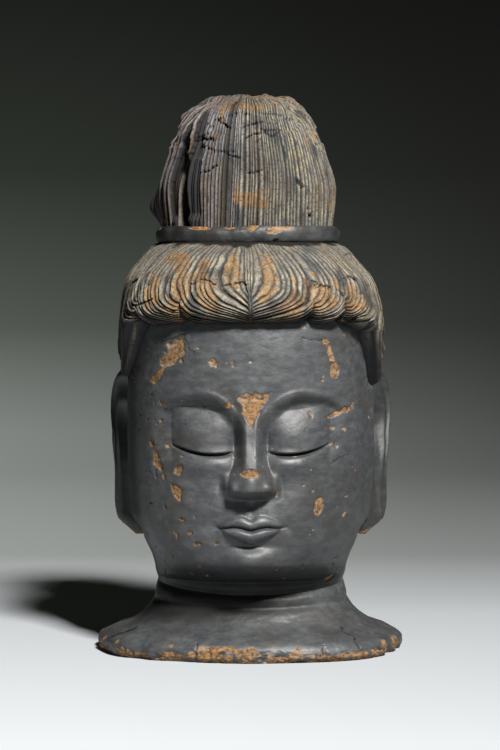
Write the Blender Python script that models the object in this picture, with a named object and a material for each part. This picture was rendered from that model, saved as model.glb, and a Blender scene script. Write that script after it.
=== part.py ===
"""Head of a bodhisattva in dark lacquer: bound topknot, combed hair, long ears and a flared neck.

The head is one moulded piece. It faces -Y, +Z is up and it stands on its flat underside at z = 0.
A fine sphere is drawn out into the whole figure by formulas of the angle round the axis and the
height and thinned to a light faceted solid, then the ears, made in the same way, are joined on.
"""

import math

import bmesh
import bpy
import numpy as np

# Driving dimensions in metres, the heights from the underside up
RIM_HALF_WIDTH = 0.110
RIM_FRONT = 0.087
RIM_BACK = 0.081
RIM_EDGE_HEIGHT = 0.009
RIM_BITE = 0.0035
SKIRT_HEIGHT = 0.030
NECK_HALF_WIDTH = 0.067
NECK_FRONT = 0.053
NECK_BACK = 0.066
NECK_CREASE_DEPTH = 0.0022
CHIN_HEIGHT = 0.060
FACE_THIRD = 0.059
FACE_HALF_WIDTH = 0.083
FACE_FRONT = 0.088
SKULL_BACK = 0.103
HAIR_THICKNESS = 0.0155
HAIR_ROLL = 0.0115
LOBE_RISE = 0.0028
SIDEBURN_LIFT = 0.016
FRINGE_RISE = 0.055
BAND_HEIGHT = 0.012
BAND_SWELL = 0.0035
TOPKNOT_HEIGHT = 0.096
TOPKNOT_HALF_WIDTH = 0.0645
TOPKNOT_HALF_DEPTH = 0.051
TOPKNOT_SHIFT = -0.0025
PARTING_DEPTH = 0.0125
COIL_REACH = 0.012
LOCK_DEPTH = 0.0022
EAR_LENGTH = 0.116
EAR_WIDTH = 0.052
EAR_THICKNESS = 0.008
EAR_TOP_FLARE = math.radians(29)
EAR_LOBE_FLARE = math.radians(45)

# Counts: how finely the spheres are cut, how many carved locks, and how light the solids become
SPHERE_SEGMENTS = 260
SPHERE_RINGS = 240
EAR_SEGMENTS = 64
EAR_RINGS = 40
CAP_LOCKS = 66
TOPKNOT_LOCKS = 46
BODY_TRIANGLES = 7600
EAR_TRIANGLES = 900

# Heights that follow from the driving dimensions
NOSE_BASE = CHIN_HEIGHT + FACE_THIRD
BROW = NOSE_BASE + FACE_THIRD
HAIRLINE = BROW + FACE_THIRD
BAND_FOOT = HAIRLINE + FRINGE_RISE
BAND_TOP = BAND_FOOT + BAND_HEIGHT
TOTAL_HEIGHT = BAND_TOP + TOPKNOT_HEIGHT
EAR_BOTTOM = CHIN_HEIGHT + 0.46 * FACE_THIRD

# The face is laid out in millimetres on a face third of 59 mm, and drawn to the real third
FACE_UNIT = FACE_THIRD / 59

# Angles at the hairline where one lobe of the fringe ends and the next begins, in degrees
LOBE_ENDS = (-53, -28, 24.5, 40)

LACQUER_COLOUR = (0.045, 0.047, 0.050, 1.0)


def smooth_step(low, high, value):
    """0 below low, 1 above high, and a smooth rise between them."""
    t = np.clip((value - low) / (high - low), 0, 1)
    return t * t * (3 - 2 * t)


def bell(value, centre, width):
    """1 at the centre, falling smoothly to nothing about two widths away."""
    return np.exp(-(((value - centre) / width) ** 2))


def mound(x, z, centre_x, centre_z, half_x, half_z):
    """A round swelling, 1 at its centre."""
    return bell(x, centre_x, half_x) * bell(z, centre_z, half_z)


def curve_through(knots, values, at):
    """Smooth curve through stations that never swings past them (a monotone cubic)."""
    knots = np.asarray(knots, float)
    values = np.asarray(values, float)
    step = np.diff(knots)
    slope = np.diff(values) / step
    before, after = slope[:-1], slope[1:]
    same_way = before * after > 0
    tangent = np.concatenate(([slope[0]], np.zeros(len(before)), [slope[-1]]))
    tangent[1:-1][same_way] = 2 / (1 / before[same_way] + 1 / after[same_way])
    index = np.clip(np.searchsorted(knots, at) - 1, 0, len(step) - 1)
    t = np.clip((at - knots[index]) / step[index], 0, 1)
    start = values[index] * (1 + 2 * t) * (1 - t) ** 2 + tangent[index] * step[index] * t * (1 - t) ** 2
    end = values[index + 1] * t * t * (3 - 2 * t) + tangent[index + 1] * step[index] * t * t * (t - 1)
    return start + end


def body_stations():
    """Level outlines from the foot to the top: height, half width, front reach, back reach, squareness."""
    skirt, neck, chin, third = SKIRT_HEIGHT, NECK_HALF_WIDTH, CHIN_HEIGHT, FACE_THIRD
    face, front, back = FACE_HALF_WIDTH, FACE_FRONT, SKULL_BACK
    knot, depth, tall = TOPKNOT_HALF_WIDTH, TOPKNOT_HALF_DEPTH, TOPKNOT_HEIGHT
    rims = np.array([RIM_HALF_WIDTH, RIM_FRONT, RIM_BACK])
    necks = np.array([neck, NECK_FRONT, NECK_BACK])
    skirt_rows = [
        (share * skirt, *(necks + (rims - necks) * mix), 2.25)
        for share, mix in ((0.50, 0.80), (0.72, 0.43), (1.05, 0.15))
    ]
    return np.array(
        [
            (0.0, *(0.973 * rims), 2.3),
            (0.45 * RIM_EDGE_HEIGHT, *rims, 2.3),
            (RIM_EDGE_HEIGHT, *(0.99 * rims), 2.3),
            *skirt_rows,
            (0.67 * chin, *(1.03 * necks), 2.1),
            (0.88 * chin, *necks, 2.1),
            (0.97 * chin, 1.015 * neck, 0.80 * front, 0.62 * back, 2.1),
            (chin + 0.15 * third, 0.855 * face, 0.915 * front, 0.66 * back, 2.2),
            (chin + 0.38 * third, 0.925 * face, 0.945 * front, 0.72 * back, 2.35),
            (chin + 0.68 * third, 0.970 * face, 0.965 * front, 0.815 * back, 2.4),
            (chin + 1.10 * third, 0.994 * face, 0.984 * front, 0.91 * back, 2.4),
            (chin + 1.60 * third, face, front, 0.98 * back, 2.4),
            (BROW, face, 1.028 * front, 1.01 * back, 2.35),
            (chin + 2.45 * third, 0.990 * face, 1.045 * front, 1.015 * back, 2.3),
            (HAIRLINE, 0.972 * face, 1.020 * front, 0.98 * back, 2.25),
            (HAIRLINE + 0.45 * FRINGE_RISE, 0.915 * face, 0.925 * front, 0.89 * back, 2.2),
            (HAIRLINE + 0.82 * FRINGE_RISE, 0.780 * face, 0.745 * front, 0.71 * back, 2.15),
            (BAND_FOOT, 0.94 * knot, depth, 1.08 * depth, 2.15),
            (BAND_TOP, 0.965 * knot, 0.98 * depth, depth, 2.2),
            (BAND_TOP + 0.27 * tall, knot, depth, 1.02 * depth, 2.2),
            (BAND_TOP + 0.48 * tall, 0.925 * knot, 0.965 * depth, 0.98 * depth, 2.2),
            (BAND_TOP + 0.73 * tall, 0.785 * knot, 0.850 * depth, 0.87 * depth, 2.2),
            (BAND_TOP + 0.875 * tall, 0.645 * knot, 0.720 * depth, 0.74 * depth, 2.15),
            (BAND_TOP + 0.965 * tall, 0.460 * knot, 0.540 * depth, 0.55 * depth, 2.1),
            (TOTAL_HEIGHT, 0.0, 0.0, 0.0, 2.0),
        ]
    )


def line_at(side):
    """Hairline without its lobes, at each angle from the front in degrees."""
    ear_top = HAIRLINE - 0.47 * FACE_THIRD
    sideburn = HAIRLINE - 0.84 * FACE_THIRD
    nape = CHIN_HEIGHT + 0.30 * FACE_THIRD
    around = (0, 38, 51, 62, 70, 75, 79, 84, 90, 110, 116, 121, 130, 180)
    heights = (
        HAIRLINE,
        HAIRLINE - 0.017 * FACE_THIRD,
        HAIRLINE - 0.06 * FACE_THIRD,
        HAIRLINE - 0.14 * FACE_THIRD,
        HAIRLINE - 0.25 * FACE_THIRD,
        HAIRLINE - 0.51 * FACE_THIRD,
        sideburn,
        sideburn + 0.02 * FACE_THIRD,
        ear_top,
        ear_top + 0.03 * FACE_THIRD,
        0.5 * (ear_top + BROW),
        NOSE_BASE,
        nape + 0.07 * FACE_THIRD,
        nape,
    )
    return curve_through(around, heights, side)


def hairline_height(angle):
    """Height of the hair's lower edge at each angle from the front, in degrees: lobed, shorter at the left."""
    notches = sum(LOBE_RISE * bell(angle, at, 2.4) for at in LOBE_ENDS)
    short_side = SIDEBURN_LIFT * bell(angle, -79, 5)
    return line_at(np.abs(angle)) + notches + short_side


def round_ridges(turns):
    """Rows of half-round ridges with sharp grooves between them, one ridge for each turn."""
    across = 2 * (turns - np.floor(turns)) - 1
    return np.sqrt(np.clip(1 - across**2, 0, 1))


def combed_angle(angle, height):
    """Angle at the band, in degrees, of the lock that passes an angle from the front at a height.

    Towards the forehead the locks sweep inwards, gather on the middle line and at each lobe's
    inner edge; at the temples they bend outwards and run down along the hairline to the ear.
    """
    side = np.abs(angle)
    down = np.clip((BAND_FOOT - height) / FRINGE_RISE, 0, 1.02)
    late = np.clip((down - 0.30) / 0.75, 0, 1) ** 2
    amount = 17 * smooth_step(0, 3, side) * (1 - 0.62 * smooth_step(3, 34, side))
    for at in LOBE_ENDS:
        past = angle * np.sign(at) - abs(at)
        amount = amount + 5.0 * smooth_step(0, 2, past) * smooth_step(18, 2, past)
    inwards = amount * smooth_step(78, 45, side) * late
    lowered = np.clip((HAIRLINE - 0.14 * FACE_THIRD - height) / FACE_THIRD, 0, 0.65)
    outwards = 15 * (lowered / 0.65) ** 0.6 * smooth_step(122, 82, side)
    return side + inwards - outwards


def hair_thickness(side, height):
    """How far the combed hair stands out: fullest over the forehead, thin at the sides and the nape."""
    down = np.clip((BAND_FOOT - height) / FRINGE_RISE, 0, 1)
    above = (height - line_at(side)) / HAIR_ROLL
    tucked = np.clip((BAND_FOOT - height) / (0.15 * FRINGE_RISE), 0, 1)
    thin_top = (1 - 0.30 * smooth_step(0.45, 0.0, down)) * np.sqrt(1 - (1 - tucked) ** 2)
    swell = 1 + 0.10 * bell(above, 1.4, 1.1) * smooth_step(85, 60, side)
    low = smooth_step(HAIRLINE - 0.08 * FACE_THIRD, HAIRLINE - 0.60 * FACE_THIRD, height)
    sideburn = 1 - 0.50 * low * smooth_step(90, 78, side)
    around = 1 - 0.04 * smooth_step(50, 80, side) - 0.12 * smooth_step(100, 150, side)
    return HAIR_THICKNESS * thin_top * swell * sideburn * around


def hair_relief(angle, height):
    """How far the combed hair stands out of the head: a rolled lower edge, then locks up to the band."""
    side = np.abs(angle)
    roll = HAIR_ROLL * (0.52 + 0.48 * smooth_step(72, 50, side))
    lifted = np.clip((height - hairline_height(angle)) / roll, 0, 1)
    stand = np.sqrt(1 - (1 - lifted) ** 2)
    locks = round_ridges(combed_angle(angle, height) * CAP_LOCKS / 360) * smooth_step(0, 4, side)
    low = smooth_step(0.35, 0.8, (BAND_FOOT - height) / FRINGE_RISE)
    lobes = sum(bell(angle, at + math.copysign(1, at), 2.0) for at in LOBE_ENDS) * low
    return stand * (hair_thickness(side, height) + LOCK_DEPTH * (locks - 1 - 0.9 * lobes))


def topknot_relief(angle, height):
    """Locks bound upwards, a deep parting left of the front sheaf, and a broken ragged top."""
    rise = np.clip((height - BAND_TOP) / TOPKNOT_HEIGHT, 0, 1)
    cover = smooth_step(0, 0.02, rise) * smooth_step(1.0, 0.93, rise)
    side = np.abs(angle)
    lean = angle + (7 * rise - 3) * np.sin(np.radians(angle))
    locks = LOCK_DEPTH * (round_ridges(lean * TOPKNOT_LOCKS / 360) - 1)
    beyond = -49 - 5 * rise - angle
    low_enough = smooth_step(0.92, 0.78, rise)
    parting = PARTING_DEPTH * smooth_step(-1.2, 0.8, beyond) * smooth_step(17, 8, beyond) * low_enough
    side_sheaf = 0.28 * PARTING_DEPTH * smooth_step(0, 4, beyond) * smooth_step(100, 75, side) * low_enough
    back_parts = 0.32 * PARTING_DEPTH * (bell(angle, 118, 6) + bell(angle, -125, 6) + bell(side, 180, 9))
    coil = COIL_REACH * bell(angle, -112, 15) * bell(rise, 0.14, 0.115)
    lifted = 0.25 * COIL_REACH * bell(angle, 30, 14) * bell(rise, 0.93, 0.08)
    broken = 0.33 * COIL_REACH * (bell(angle, 62, 12) + bell(angle, -66, 14)) * bell(rise, 0.88, 0.10)
    stump = 0.42 * COIL_REACH * bell(angle, -60, 7) * bell(rise, 0.68, 0.12)
    return cover * (locks - parting - side_sheaf - back_parts + lifted - broken + stump) + coil


def band_relief(height):
    """The plain round band that binds the topknot."""
    across = (height - BAND_FOOT) / BAND_HEIGHT
    return BAND_SWELL * np.sqrt(np.clip(1 - (2 * across - 1) ** 2, 0, 1))


def neck_relief(angle, height):
    """Two soft creases that dip at the throat, with a fold of flesh swelling over each."""
    lift = 0.5 - 0.5 * np.cos(np.radians(angle))
    side = np.abs(angle)
    fade = (0.25 + 0.75 * smooth_step(100, 55, side)) * smooth_step(160, 110, side)
    upper = 0.73 + 0.24 * lift
    lower = 0.575 + 0.10 * lift
    share = height / CHIN_HEIGHT
    relief = 0
    for crease, strength in ((upper, 1.0), (lower, 0.75)):
        groove = bell(share, crease, 0.040)
        fold = bell(share, crease + 0.10, 0.070)
        relief = relief + strength * (0.45 * fold - 0.80 * groove)
    return NECK_CREASE_DEPTH * relief * fade


def cheek_fillet(angle, height):
    """Flesh that fills the corner between the cheek and the front edge of the ear."""
    lobe = smooth_step(EAR_BOTTOM - 0.07 * FACE_THIRD, EAR_BOTTOM + 0.20 * FACE_THIRD, height)
    here = lobe * smooth_step(HAIRLINE, HAIRLINE - 0.5 * FACE_THIRD, height)
    return 0.70 * EAR_THICKNESS * bell(np.abs(angle), 88, 10) * here


def rim_relief(angle, height):
    """The broken edge of the skirt: shallow bites and bulges in its outline."""
    turn = np.radians(angle)
    waves = 0.46 * np.sin(3 * turn + 0.7) + 0.34 * np.sin(7 * turn + 2.1)
    bites = bell(angle, -52, 5) + 0.7 * bell(angle, 70, 4) + 0.86 * bell(angle, 128, 7)
    return RIM_BITE * (waves - bites) * smooth_step(0.75 * SKIRT_HEIGHT, 0.15 * SKIRT_HEIGHT, height)


def brow_side(m, z):
    """Millimetres inside the line that runs down the nose and up over the eye; negative outside it."""
    peak_m, peak_z, root_m, root_z = 37.0, 127.5, 4.6, 92.0
    over = np.clip((z - root_z) / (peak_z - root_z), 0, None)
    along = np.clip((peak_m - m) / (peak_m - root_m), 0, None)
    inner = (1 - np.hypot(along, over)) * 0.5 * (peak_m - root_m + peak_z - root_z)
    outer = peak_z - 7.0 * ((m - peak_m) / 28.0) ** 2 - z
    return np.where(m < peak_m, inner, outer)


def nose_relief(m, z):
    """A straight ridge that widens to a rounded tip, with small wings and a level underside."""
    down = (140, 118, 108, 92, 78, 67, 62, 59.5, 57, 54, 50)
    reach = curve_through(down[::-1], (0, 0.5, 8, 16.5, 20.5, 21, 18, 12, 7, 3, 0), z)
    top_half = curve_through((50, 62, 78, 100, 118, 140), (6.5, 6.0, 3.6, 2.8, 4.2, 9), z)
    foot_half = curve_through((50, 60, 68, 80, 98, 118, 140), (15, 16.5, 16, 12.5, 10.5, 12, 22), z)
    bridge = smooth_step(foot_half, top_half, m) ** 1.15
    tip = np.clip(1 - (m / (0.95 * foot_half)) ** 2, 0, 1) ** 0.85
    ridge = reach * (bridge + (tip - bridge) * smooth_step(84, 70, z))
    wings = 9.0 * mound(m, z, 14.5, 64.0, 4.8, 5.6)
    creases = 1.8 * mound(m, z, 21.0, 65.0, 2.4, 7.0)
    return ridge + wings * smooth_step(53.5, 58.0, z) - creases


def eye_relief(m, z):
    """A lowered upper lid swelling below the brow, its edge over a narrow shadow, and a soft lower lid."""
    across = np.clip((m - 33.5) / 21.5, -1.25, 1.25)
    edge = 90.0 - 3.6 * (1 - across**2) + 2.6 * across
    socket = 7.0 * smooth_step(0, 8.5, brow_side(m, z))
    socket = socket * smooth_step(76, 94, z) * smooth_step(74, 52, m)
    arch = 0.9 * bell(brow_side(m, z), -1.4, 1.8) * smooth_step(90, 110, z) * smooth_step(66, 54, m)
    lid = 8.2 * np.clip(1 - across**2, 0, 1) ** 0.75
    lid = lid * np.clip(1 - (np.clip(z - edge - 7, 0, None) / 23.0) ** 2, 0, 1)
    lid = lid * smooth_step(edge - 0.5, edge + 0.6, z) * (0.72 + 0.28 * smooth_step(-2, 9, z - edge))
    open_here = smooth_step(1.15, 0.85, np.abs(across))
    below = 5.2 * np.clip(1 - across**2, 0, 1) ** 0.8 * smooth_step(edge - 0.3, edge - 3.4, z)
    below = below * smooth_step(edge - 22, edge - 4, z)
    shadow = 1.5 * bell(z, edge - 0.9, 1.1) * open_here
    return arch - socket + lid + below - shadow


def mouth_relief(m, z):
    """Small full lips on a soft swelling: a bowed line, a cupid's bow and a rounded lower lip."""
    along = np.clip(m / 24.0, 0, 1.3)
    line = 34.5 - 1.0 * bell(m, 0, 4.5) + 1.0 * bell(m, 11, 6) + 0.9 * smooth_step(0.7, 1.1, along)
    taper = np.clip(1 - along**2.2, 0, 1) ** 0.75
    lower_taper = np.clip(1 - (m / 20.5) ** 2, 0, 1) ** 0.7
    upper_edge = line + 8.6 * taper - 1.5 * bell(m, 0, 3.2)
    lower_edge = line - 9.6 * lower_taper
    up = np.clip((z - line) / (upper_edge - line + 0.4), 0, 1)
    low = np.clip((line - z) / (line - lower_edge + 0.4), 0, 1)
    upper_lip = 4.2 * taper * (4 * up * (1 - up)) ** 0.60 * (1 - 0.35 * up)
    lower_lip = 5.6 * lower_taper * (4 * low * (1 - low)) ** 0.62
    swell = 7.5 * mound(m, z, 0, 36, 29, 22)
    seam = 1.8 * bell(z, line, 1.0) * smooth_step(1.15, 0.80, along)
    corner = 1.6 * mound(m, z, 25.0, 35, 4.2, 4.6)
    groove = 1.5 * mound(m, z, 0, 49, 3.2, 5.5)
    return swell + upper_lip + lower_lip - seam - corner - groove


def cheek_and_chin_relief(m, z):
    """Full cheeks, a rounded chin and the hollow between chin and lower lip."""
    cheeks = 3.6 * mound(m, z, 40, 52, 24, 26)
    chin = 9.0 * mound(m, z, 0, 10.5, 19, 10.0)
    hollow = 3.2 * mound(m, z, 0, 22.0, 15, 3.8)
    jowl = 2.6 * mound(m, z, 42, 20, 20, 15)
    return cheeks + chin - hollow + jowl


def face_relief(x, z):
    """All that stands forward of the plain oval of the face, in metres."""
    m = np.abs(x) / FACE_UNIT
    up = (z - CHIN_HEIGHT) / FACE_UNIT
    relief = nose_relief(m, up) + eye_relief(m, up) + mouth_relief(m, up)
    return (relief + cheek_and_chin_relief(m, up)) * FACE_UNIT


def body_surface(turn, travel):
    """Point of the figure at an angle from the front (radians, +X positive) and a share of the way up."""
    stations = body_stations()
    steps = np.hypot(np.diff(stations[:, 0]), np.diff(stations[:, 1]))
    knots = np.concatenate(([0], np.cumsum(steps)))
    underside = 0.07
    climb = np.clip((travel - underside) / (1 - underside), 0, 1) * knots[-1]
    height, half, front, back, square = (curve_through(knots, column, climb) for column in stations.T)
    under = np.clip(travel / underside, 0, 1)
    angle = np.degrees(turn)
    reach = np.where(np.cos(turn) > 0, front, back)
    size = np.maximum(half, 1e-9)
    radius = (
        np.abs(np.sin(turn) / size) ** square + np.abs(np.cos(turn) / np.maximum(reach, 1e-9)) ** square
    ) ** (-1 / square)
    on_head = smooth_step(BAND_FOOT, BAND_FOOT - 0.02 * BAND_HEIGHT, height)
    on_knot = smooth_step(BAND_TOP - 0.1 * BAND_HEIGHT, BAND_TOP, height)
    relief = hair_relief(angle, height) * on_head + topknot_relief(angle, height) * on_knot
    relief = relief + band_relief(height) + cheek_fillet(angle, height)
    relief = relief + neck_relief(angle, height) + rim_relief(angle, height)
    radius = (radius + relief * smooth_step(0, 0.2 * TOPKNOT_HALF_WIDTH, radius)) * under
    x = radius * np.sin(turn)
    y = -radius * np.cos(turn)
    bare = smooth_step(0.06, -0.03, (height - hairline_height(angle)) / FACE_THIRD)
    facing = smooth_step(0.10, 0.62, np.cos(turn)) * bare * smooth_step(0.84, 0.98, height / CHIN_HEIGHT)
    y = y - face_relief(x, height) * facing
    x = x + TOPKNOT_SHIFT * smooth_step(HAIRLINE, BAND_TOP, height)
    return np.stack([x, y, height], axis=1)


def ear_surface(turn, rise):
    """Point of the right ear: a long curled plate, from its outline (rise 0) in to its middle (rise 1).

    Negative rise is the plain side that meets the head. The front edge is one straight line inside
    the head, and the broken lobe stands out further from the head than the top does.
    """
    inward = np.sin(0.5 * np.pi * np.clip(1 - np.abs(rise), 0, 1))
    up = np.where(turn < 0, -np.abs(np.sin(turn)) ** 0.6, np.sin(turn))
    level = 0.5 + 0.5 * up * inward
    wide = EAR_WIDTH * curve_through((0, 0.25, 0.55, 0.80, 1.0), (0.64, 0.66, 0.80, 1.0, 0.96), level)
    blunt = np.where(up < 0, 0.25, 0.55)
    across = np.sign(np.cos(turn)) * np.abs(np.cos(turn)) ** blunt * inward
    along = 0.5 * wide * (1 + across)
    slant = 0.42 * (along - 0.38 * EAR_WIDTH) * (1 - level) ** 3
    z = EAR_BOTTOM + EAR_LENGTH * level + slant
    bowl = mound(across, level, -0.10, 0.60, 0.42, 0.12)
    channel = 0.45 * mound(across, level, 0.10, 0.16, 0.22, 0.20)
    helix = 0.46 * bell(inward, 0.90, 0.08) * (0.30 + 0.70 * smooth_step(0.30, 0.55, level))
    inner_fold = 0.34 * bell(inward, 0.56, 0.11) * smooth_step(0.25, 0.50, level)
    flap = 0.50 * mound(across, level, -0.72, 0.55, 0.16, 0.05)
    lift = EAR_THICKNESS * (0.55 + helix + inner_fold + flap - bowl - channel)
    edge = np.sqrt(np.clip(1 - inward**8, 0, 1))
    behind = -EAR_THICKNESS * (0.45 + bowl + 0.8 * channel)
    outward = np.where(rise >= 0, lift, behind) * edge
    flare = EAR_LOBE_FLARE + (EAR_TOP_FLARE - EAR_LOBE_FLARE) * smooth_step(0, 0.8, level)
    x = 0.895 * FACE_HALF_WIDTH + along * np.sin(flare) + outward * np.cos(flare)
    y = -0.07 * FACE_HALF_WIDTH + along * np.cos(flare) - outward * np.sin(flare)
    return np.stack([x, y, z], axis=1)


def drawn_sphere(name, segments, rings, place, collection):
    """A sphere object whose points are moved by place(turn, share), share running from pole to pole."""
    bm = bmesh.new()
    bmesh.ops.create_uvsphere(bm, u_segments=segments, v_segments=rings, radius=1)
    mesh = bpy.data.meshes.new(name)
    bm.to_mesh(mesh)
    bm.free()
    flat = np.zeros(len(mesh.vertices) * 3)
    mesh.vertices.foreach_get("co", flat)
    points = flat.reshape(-1, 3)
    turn = np.arctan2(points[:, 0], -points[:, 1])
    share = 1 - np.arccos(np.clip(points[:, 2], -1, 1)) / np.pi
    mesh.vertices.foreach_set("co", place(turn, share).ravel())
    mesh.update()
    body = bpy.data.objects.new(name, mesh)
    collection.objects.link(body)
    return body


def face_outwards(body):
    """Recalculates the normals of a closed mesh so that they point out of it."""
    bm = bmesh.new()
    bm.from_mesh(body.data)
    bmesh.ops.recalc_face_normals(bm, faces=bm.faces)
    bm.to_mesh(body.data)
    bm.free()


def make_light(body, share):
    """Thins a fine mesh to a light faceted one, keeping this share of its triangles."""
    thin = body.modifiers.new("light solid", "DECIMATE")
    thin.ratio = share
    thin.use_collapse_triangulate = True


def make_ear(side, cutters):
    """One ear as a closed shape, kept as the tool of a Boolean union; side is 1 or -1."""

    def place(turn, share):
        points = ear_surface(turn, 2 * share - 1)
        points[:, 0] *= side
        return points

    ear = drawn_sphere("ear_right" if side > 0 else "ear_left", EAR_SEGMENTS, EAR_RINGS, place, cutters)
    face_outwards(ear)
    make_light(ear, EAR_TRIANGLES / (2 * EAR_SEGMENTS * (EAR_RINGS - 1)))
    ear.hide_render = True
    ear.display_type = "WIRE"
    return ear


def lacquer_material():
    """Aged black lacquer."""
    material = bpy.data.materials.new("black_lacquer")
    material.use_nodes = True
    shader = material.node_tree.nodes["Principled BSDF"]
    shader.inputs["Base Color"].default_value = LACQUER_COLOUR
    shader.inputs["Roughness"].default_value = 0.45
    shader.inputs["Metallic"].default_value = 0.0
    return material


def centre_on_base(body):
    """Moves the finished mesh so that its bounding box is centred over the origin."""
    bpy.context.view_layer.update()
    evaluated = body.evaluated_get(bpy.context.evaluated_depsgraph_get())
    flat = np.zeros(len(evaluated.data.vertices) * 3)
    evaluated.data.vertices.foreach_get("co", flat)
    points = flat.reshape(-1, 3)
    middle = (points.min(0) + points.max(0)) / 2
    body.location = (-middle[0], -middle[1], 0)


def make_head(parts, cutters):
    """The whole figure: the drawn sphere thinned to a light solid, and the ears joined on."""
    head = drawn_sphere("bodhisattva_head", SPHERE_SEGMENTS, SPHERE_RINGS, body_surface, parts)
    face_outwards(head)
    head.data.materials.append(lacquer_material())
    make_light(head, BODY_TRIANGLES / (2 * SPHERE_SEGMENTS * (SPHERE_RINGS - 1)))
    for side in (1, -1):
        union = head.modifiers.new("ear", "BOOLEAN")
        union.operation = "UNION"
        union.solver = "EXACT"
        union.object = make_ear(side, cutters)
    centre_on_base(head)
    return head


def main():
    for old in list(bpy.data.objects):
        bpy.data.objects.remove(old)
    parts = bpy.data.collections.new("bodhisattva_head")
    cutters = bpy.data.collections.new("cutters")
    bpy.context.scene.collection.children.link(parts)
    bpy.context.scene.collection.children.link(cutters)
    make_head(parts, cutters)


main()
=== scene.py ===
"""Looks of a bodhisattva head in aged black lacquer: face, neck, rim, combed hair, topknot, band, ears."""

import itertools
import math

import bpy
import numpy as np
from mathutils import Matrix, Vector


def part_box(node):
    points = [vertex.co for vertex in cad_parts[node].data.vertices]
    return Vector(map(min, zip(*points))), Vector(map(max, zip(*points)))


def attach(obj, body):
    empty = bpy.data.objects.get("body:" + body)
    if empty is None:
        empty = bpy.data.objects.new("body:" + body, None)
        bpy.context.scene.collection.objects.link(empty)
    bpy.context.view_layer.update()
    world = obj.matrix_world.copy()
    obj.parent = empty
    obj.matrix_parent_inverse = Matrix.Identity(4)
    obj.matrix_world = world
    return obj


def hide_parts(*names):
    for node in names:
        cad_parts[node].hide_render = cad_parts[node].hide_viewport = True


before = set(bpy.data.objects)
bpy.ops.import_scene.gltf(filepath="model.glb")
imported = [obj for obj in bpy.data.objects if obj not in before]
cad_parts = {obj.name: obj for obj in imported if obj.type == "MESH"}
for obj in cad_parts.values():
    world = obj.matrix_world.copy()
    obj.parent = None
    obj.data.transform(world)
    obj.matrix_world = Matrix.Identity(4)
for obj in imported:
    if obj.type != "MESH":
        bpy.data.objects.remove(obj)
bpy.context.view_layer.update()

bl_info = {
    "name": "Lacquered bodhisattva head",
    "version": (1, 0, 0),
    "blender": (4, 5, 0),
    "location": "3D View > Sidebar > Head",
    "description": "Builds a life-size lacquered head with combed hair and a bound topknot",
    "category": "Add Mesh",
}

NODE = "bodhisattva_head"
LACQUER = "aged black lacquer"
HAIR = "dry lacquer hair"
MM = 0.001


def length(name, description, default):
    """A size in metres for the panel."""
    return bpy.props.FloatProperty(
        name=name, description=description, default=default, unit="LENGTH", precision=4
    )


def number(name, description, default):
    """A number of strands for the panel."""
    return bpy.props.IntProperty(name=name, description=description, default=default)


def colour(name, description, default):
    """A colour for the panel, written as an sRGB hex value."""
    return bpy.props.StringProperty(name=name, description=description, default=default)


class HeadSizes(bpy.types.PropertyGroup):
    rim_half_width: length("Rim half width", "Half the width of the flared rim", 0.110)
    rim_front: length("Rim front", "Reach of the rim in front of the axis", 0.087)
    rim_back: length("Rim back", "Reach of the rim behind the axis", 0.081)
    rim_edge: length("Rim edge", "Height of the rim's upright edge", 0.009)
    skirt_height: length("Skirt height", "Height over which the neck spreads into the rim", 0.030)
    neck_half_width: length("Neck half width", "Half the width of the neck", 0.067)
    neck_front: length("Neck front", "Reach of the neck in front of the axis", 0.053)
    neck_back: length("Neck back", "Reach of the neck behind the axis", 0.066)
    crease_depth: length("Crease depth", "Depth of the folds round the neck", 0.0022)
    chin_height: length("Chin height", "Height of the chin above the floor", 0.060)
    face_third: length("Face third", "A third of the face: chin to nose, nose to brow, brow to hair", 0.059)
    face_half_width: length("Face half width", "Half the width of the face at the cheeks", 0.083)
    face_front: length("Face front", "Reach of the plain oval of the face in front of the axis", 0.088)
    skull_back: length("Skull back", "Reach of the skull behind the axis", 0.103)
    hair_thickness: length("Hair thickness", "How far the roll of hair stands off the forehead", 0.0155)
    fringe_rise: length("Fringe rise", "Height from the hairline to the band", 0.055)
    band_height: length("Band height", "Height of the band that binds the topknot", 0.012)
    band_swell: length("Band swell", "How far the band stands out", 0.0035)
    topknot_height: length("Topknot height", "Height of the topknot above the band", 0.096)
    topknot_half_width: length("Topknot half width", "Half the width of the topknot", 0.0645)
    topknot_half_depth: length("Topknot half depth", "Half the depth of the topknot", 0.051)
    topknot_shift: length("Topknot shift", "How far the topknot stands off the middle", -0.0025)
    ear_length: length("Ear length", "Length of the ear with its lobe", 0.116)
    ear_width: length("Ear width", "Width of the ear from root to edge", 0.052)
    ear_thickness: length("Ear thickness", "Thickness of the ear's plate", 0.008)
    parting_depth: length("Parting depth", "Depth of the deep parting at the left of the topknot", 0.0125)
    coil_reach: length("Coil reach", "How far the coil at the left of the topknot stands out", 0.012)


class HeadCounts(bpy.types.PropertyGroup):
    cap_strands: number("Cap strands", "Strands combed round the head", 132)
    topknot_strands: number("Topknot strands", "Strands round the topknot", 124)


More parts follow.
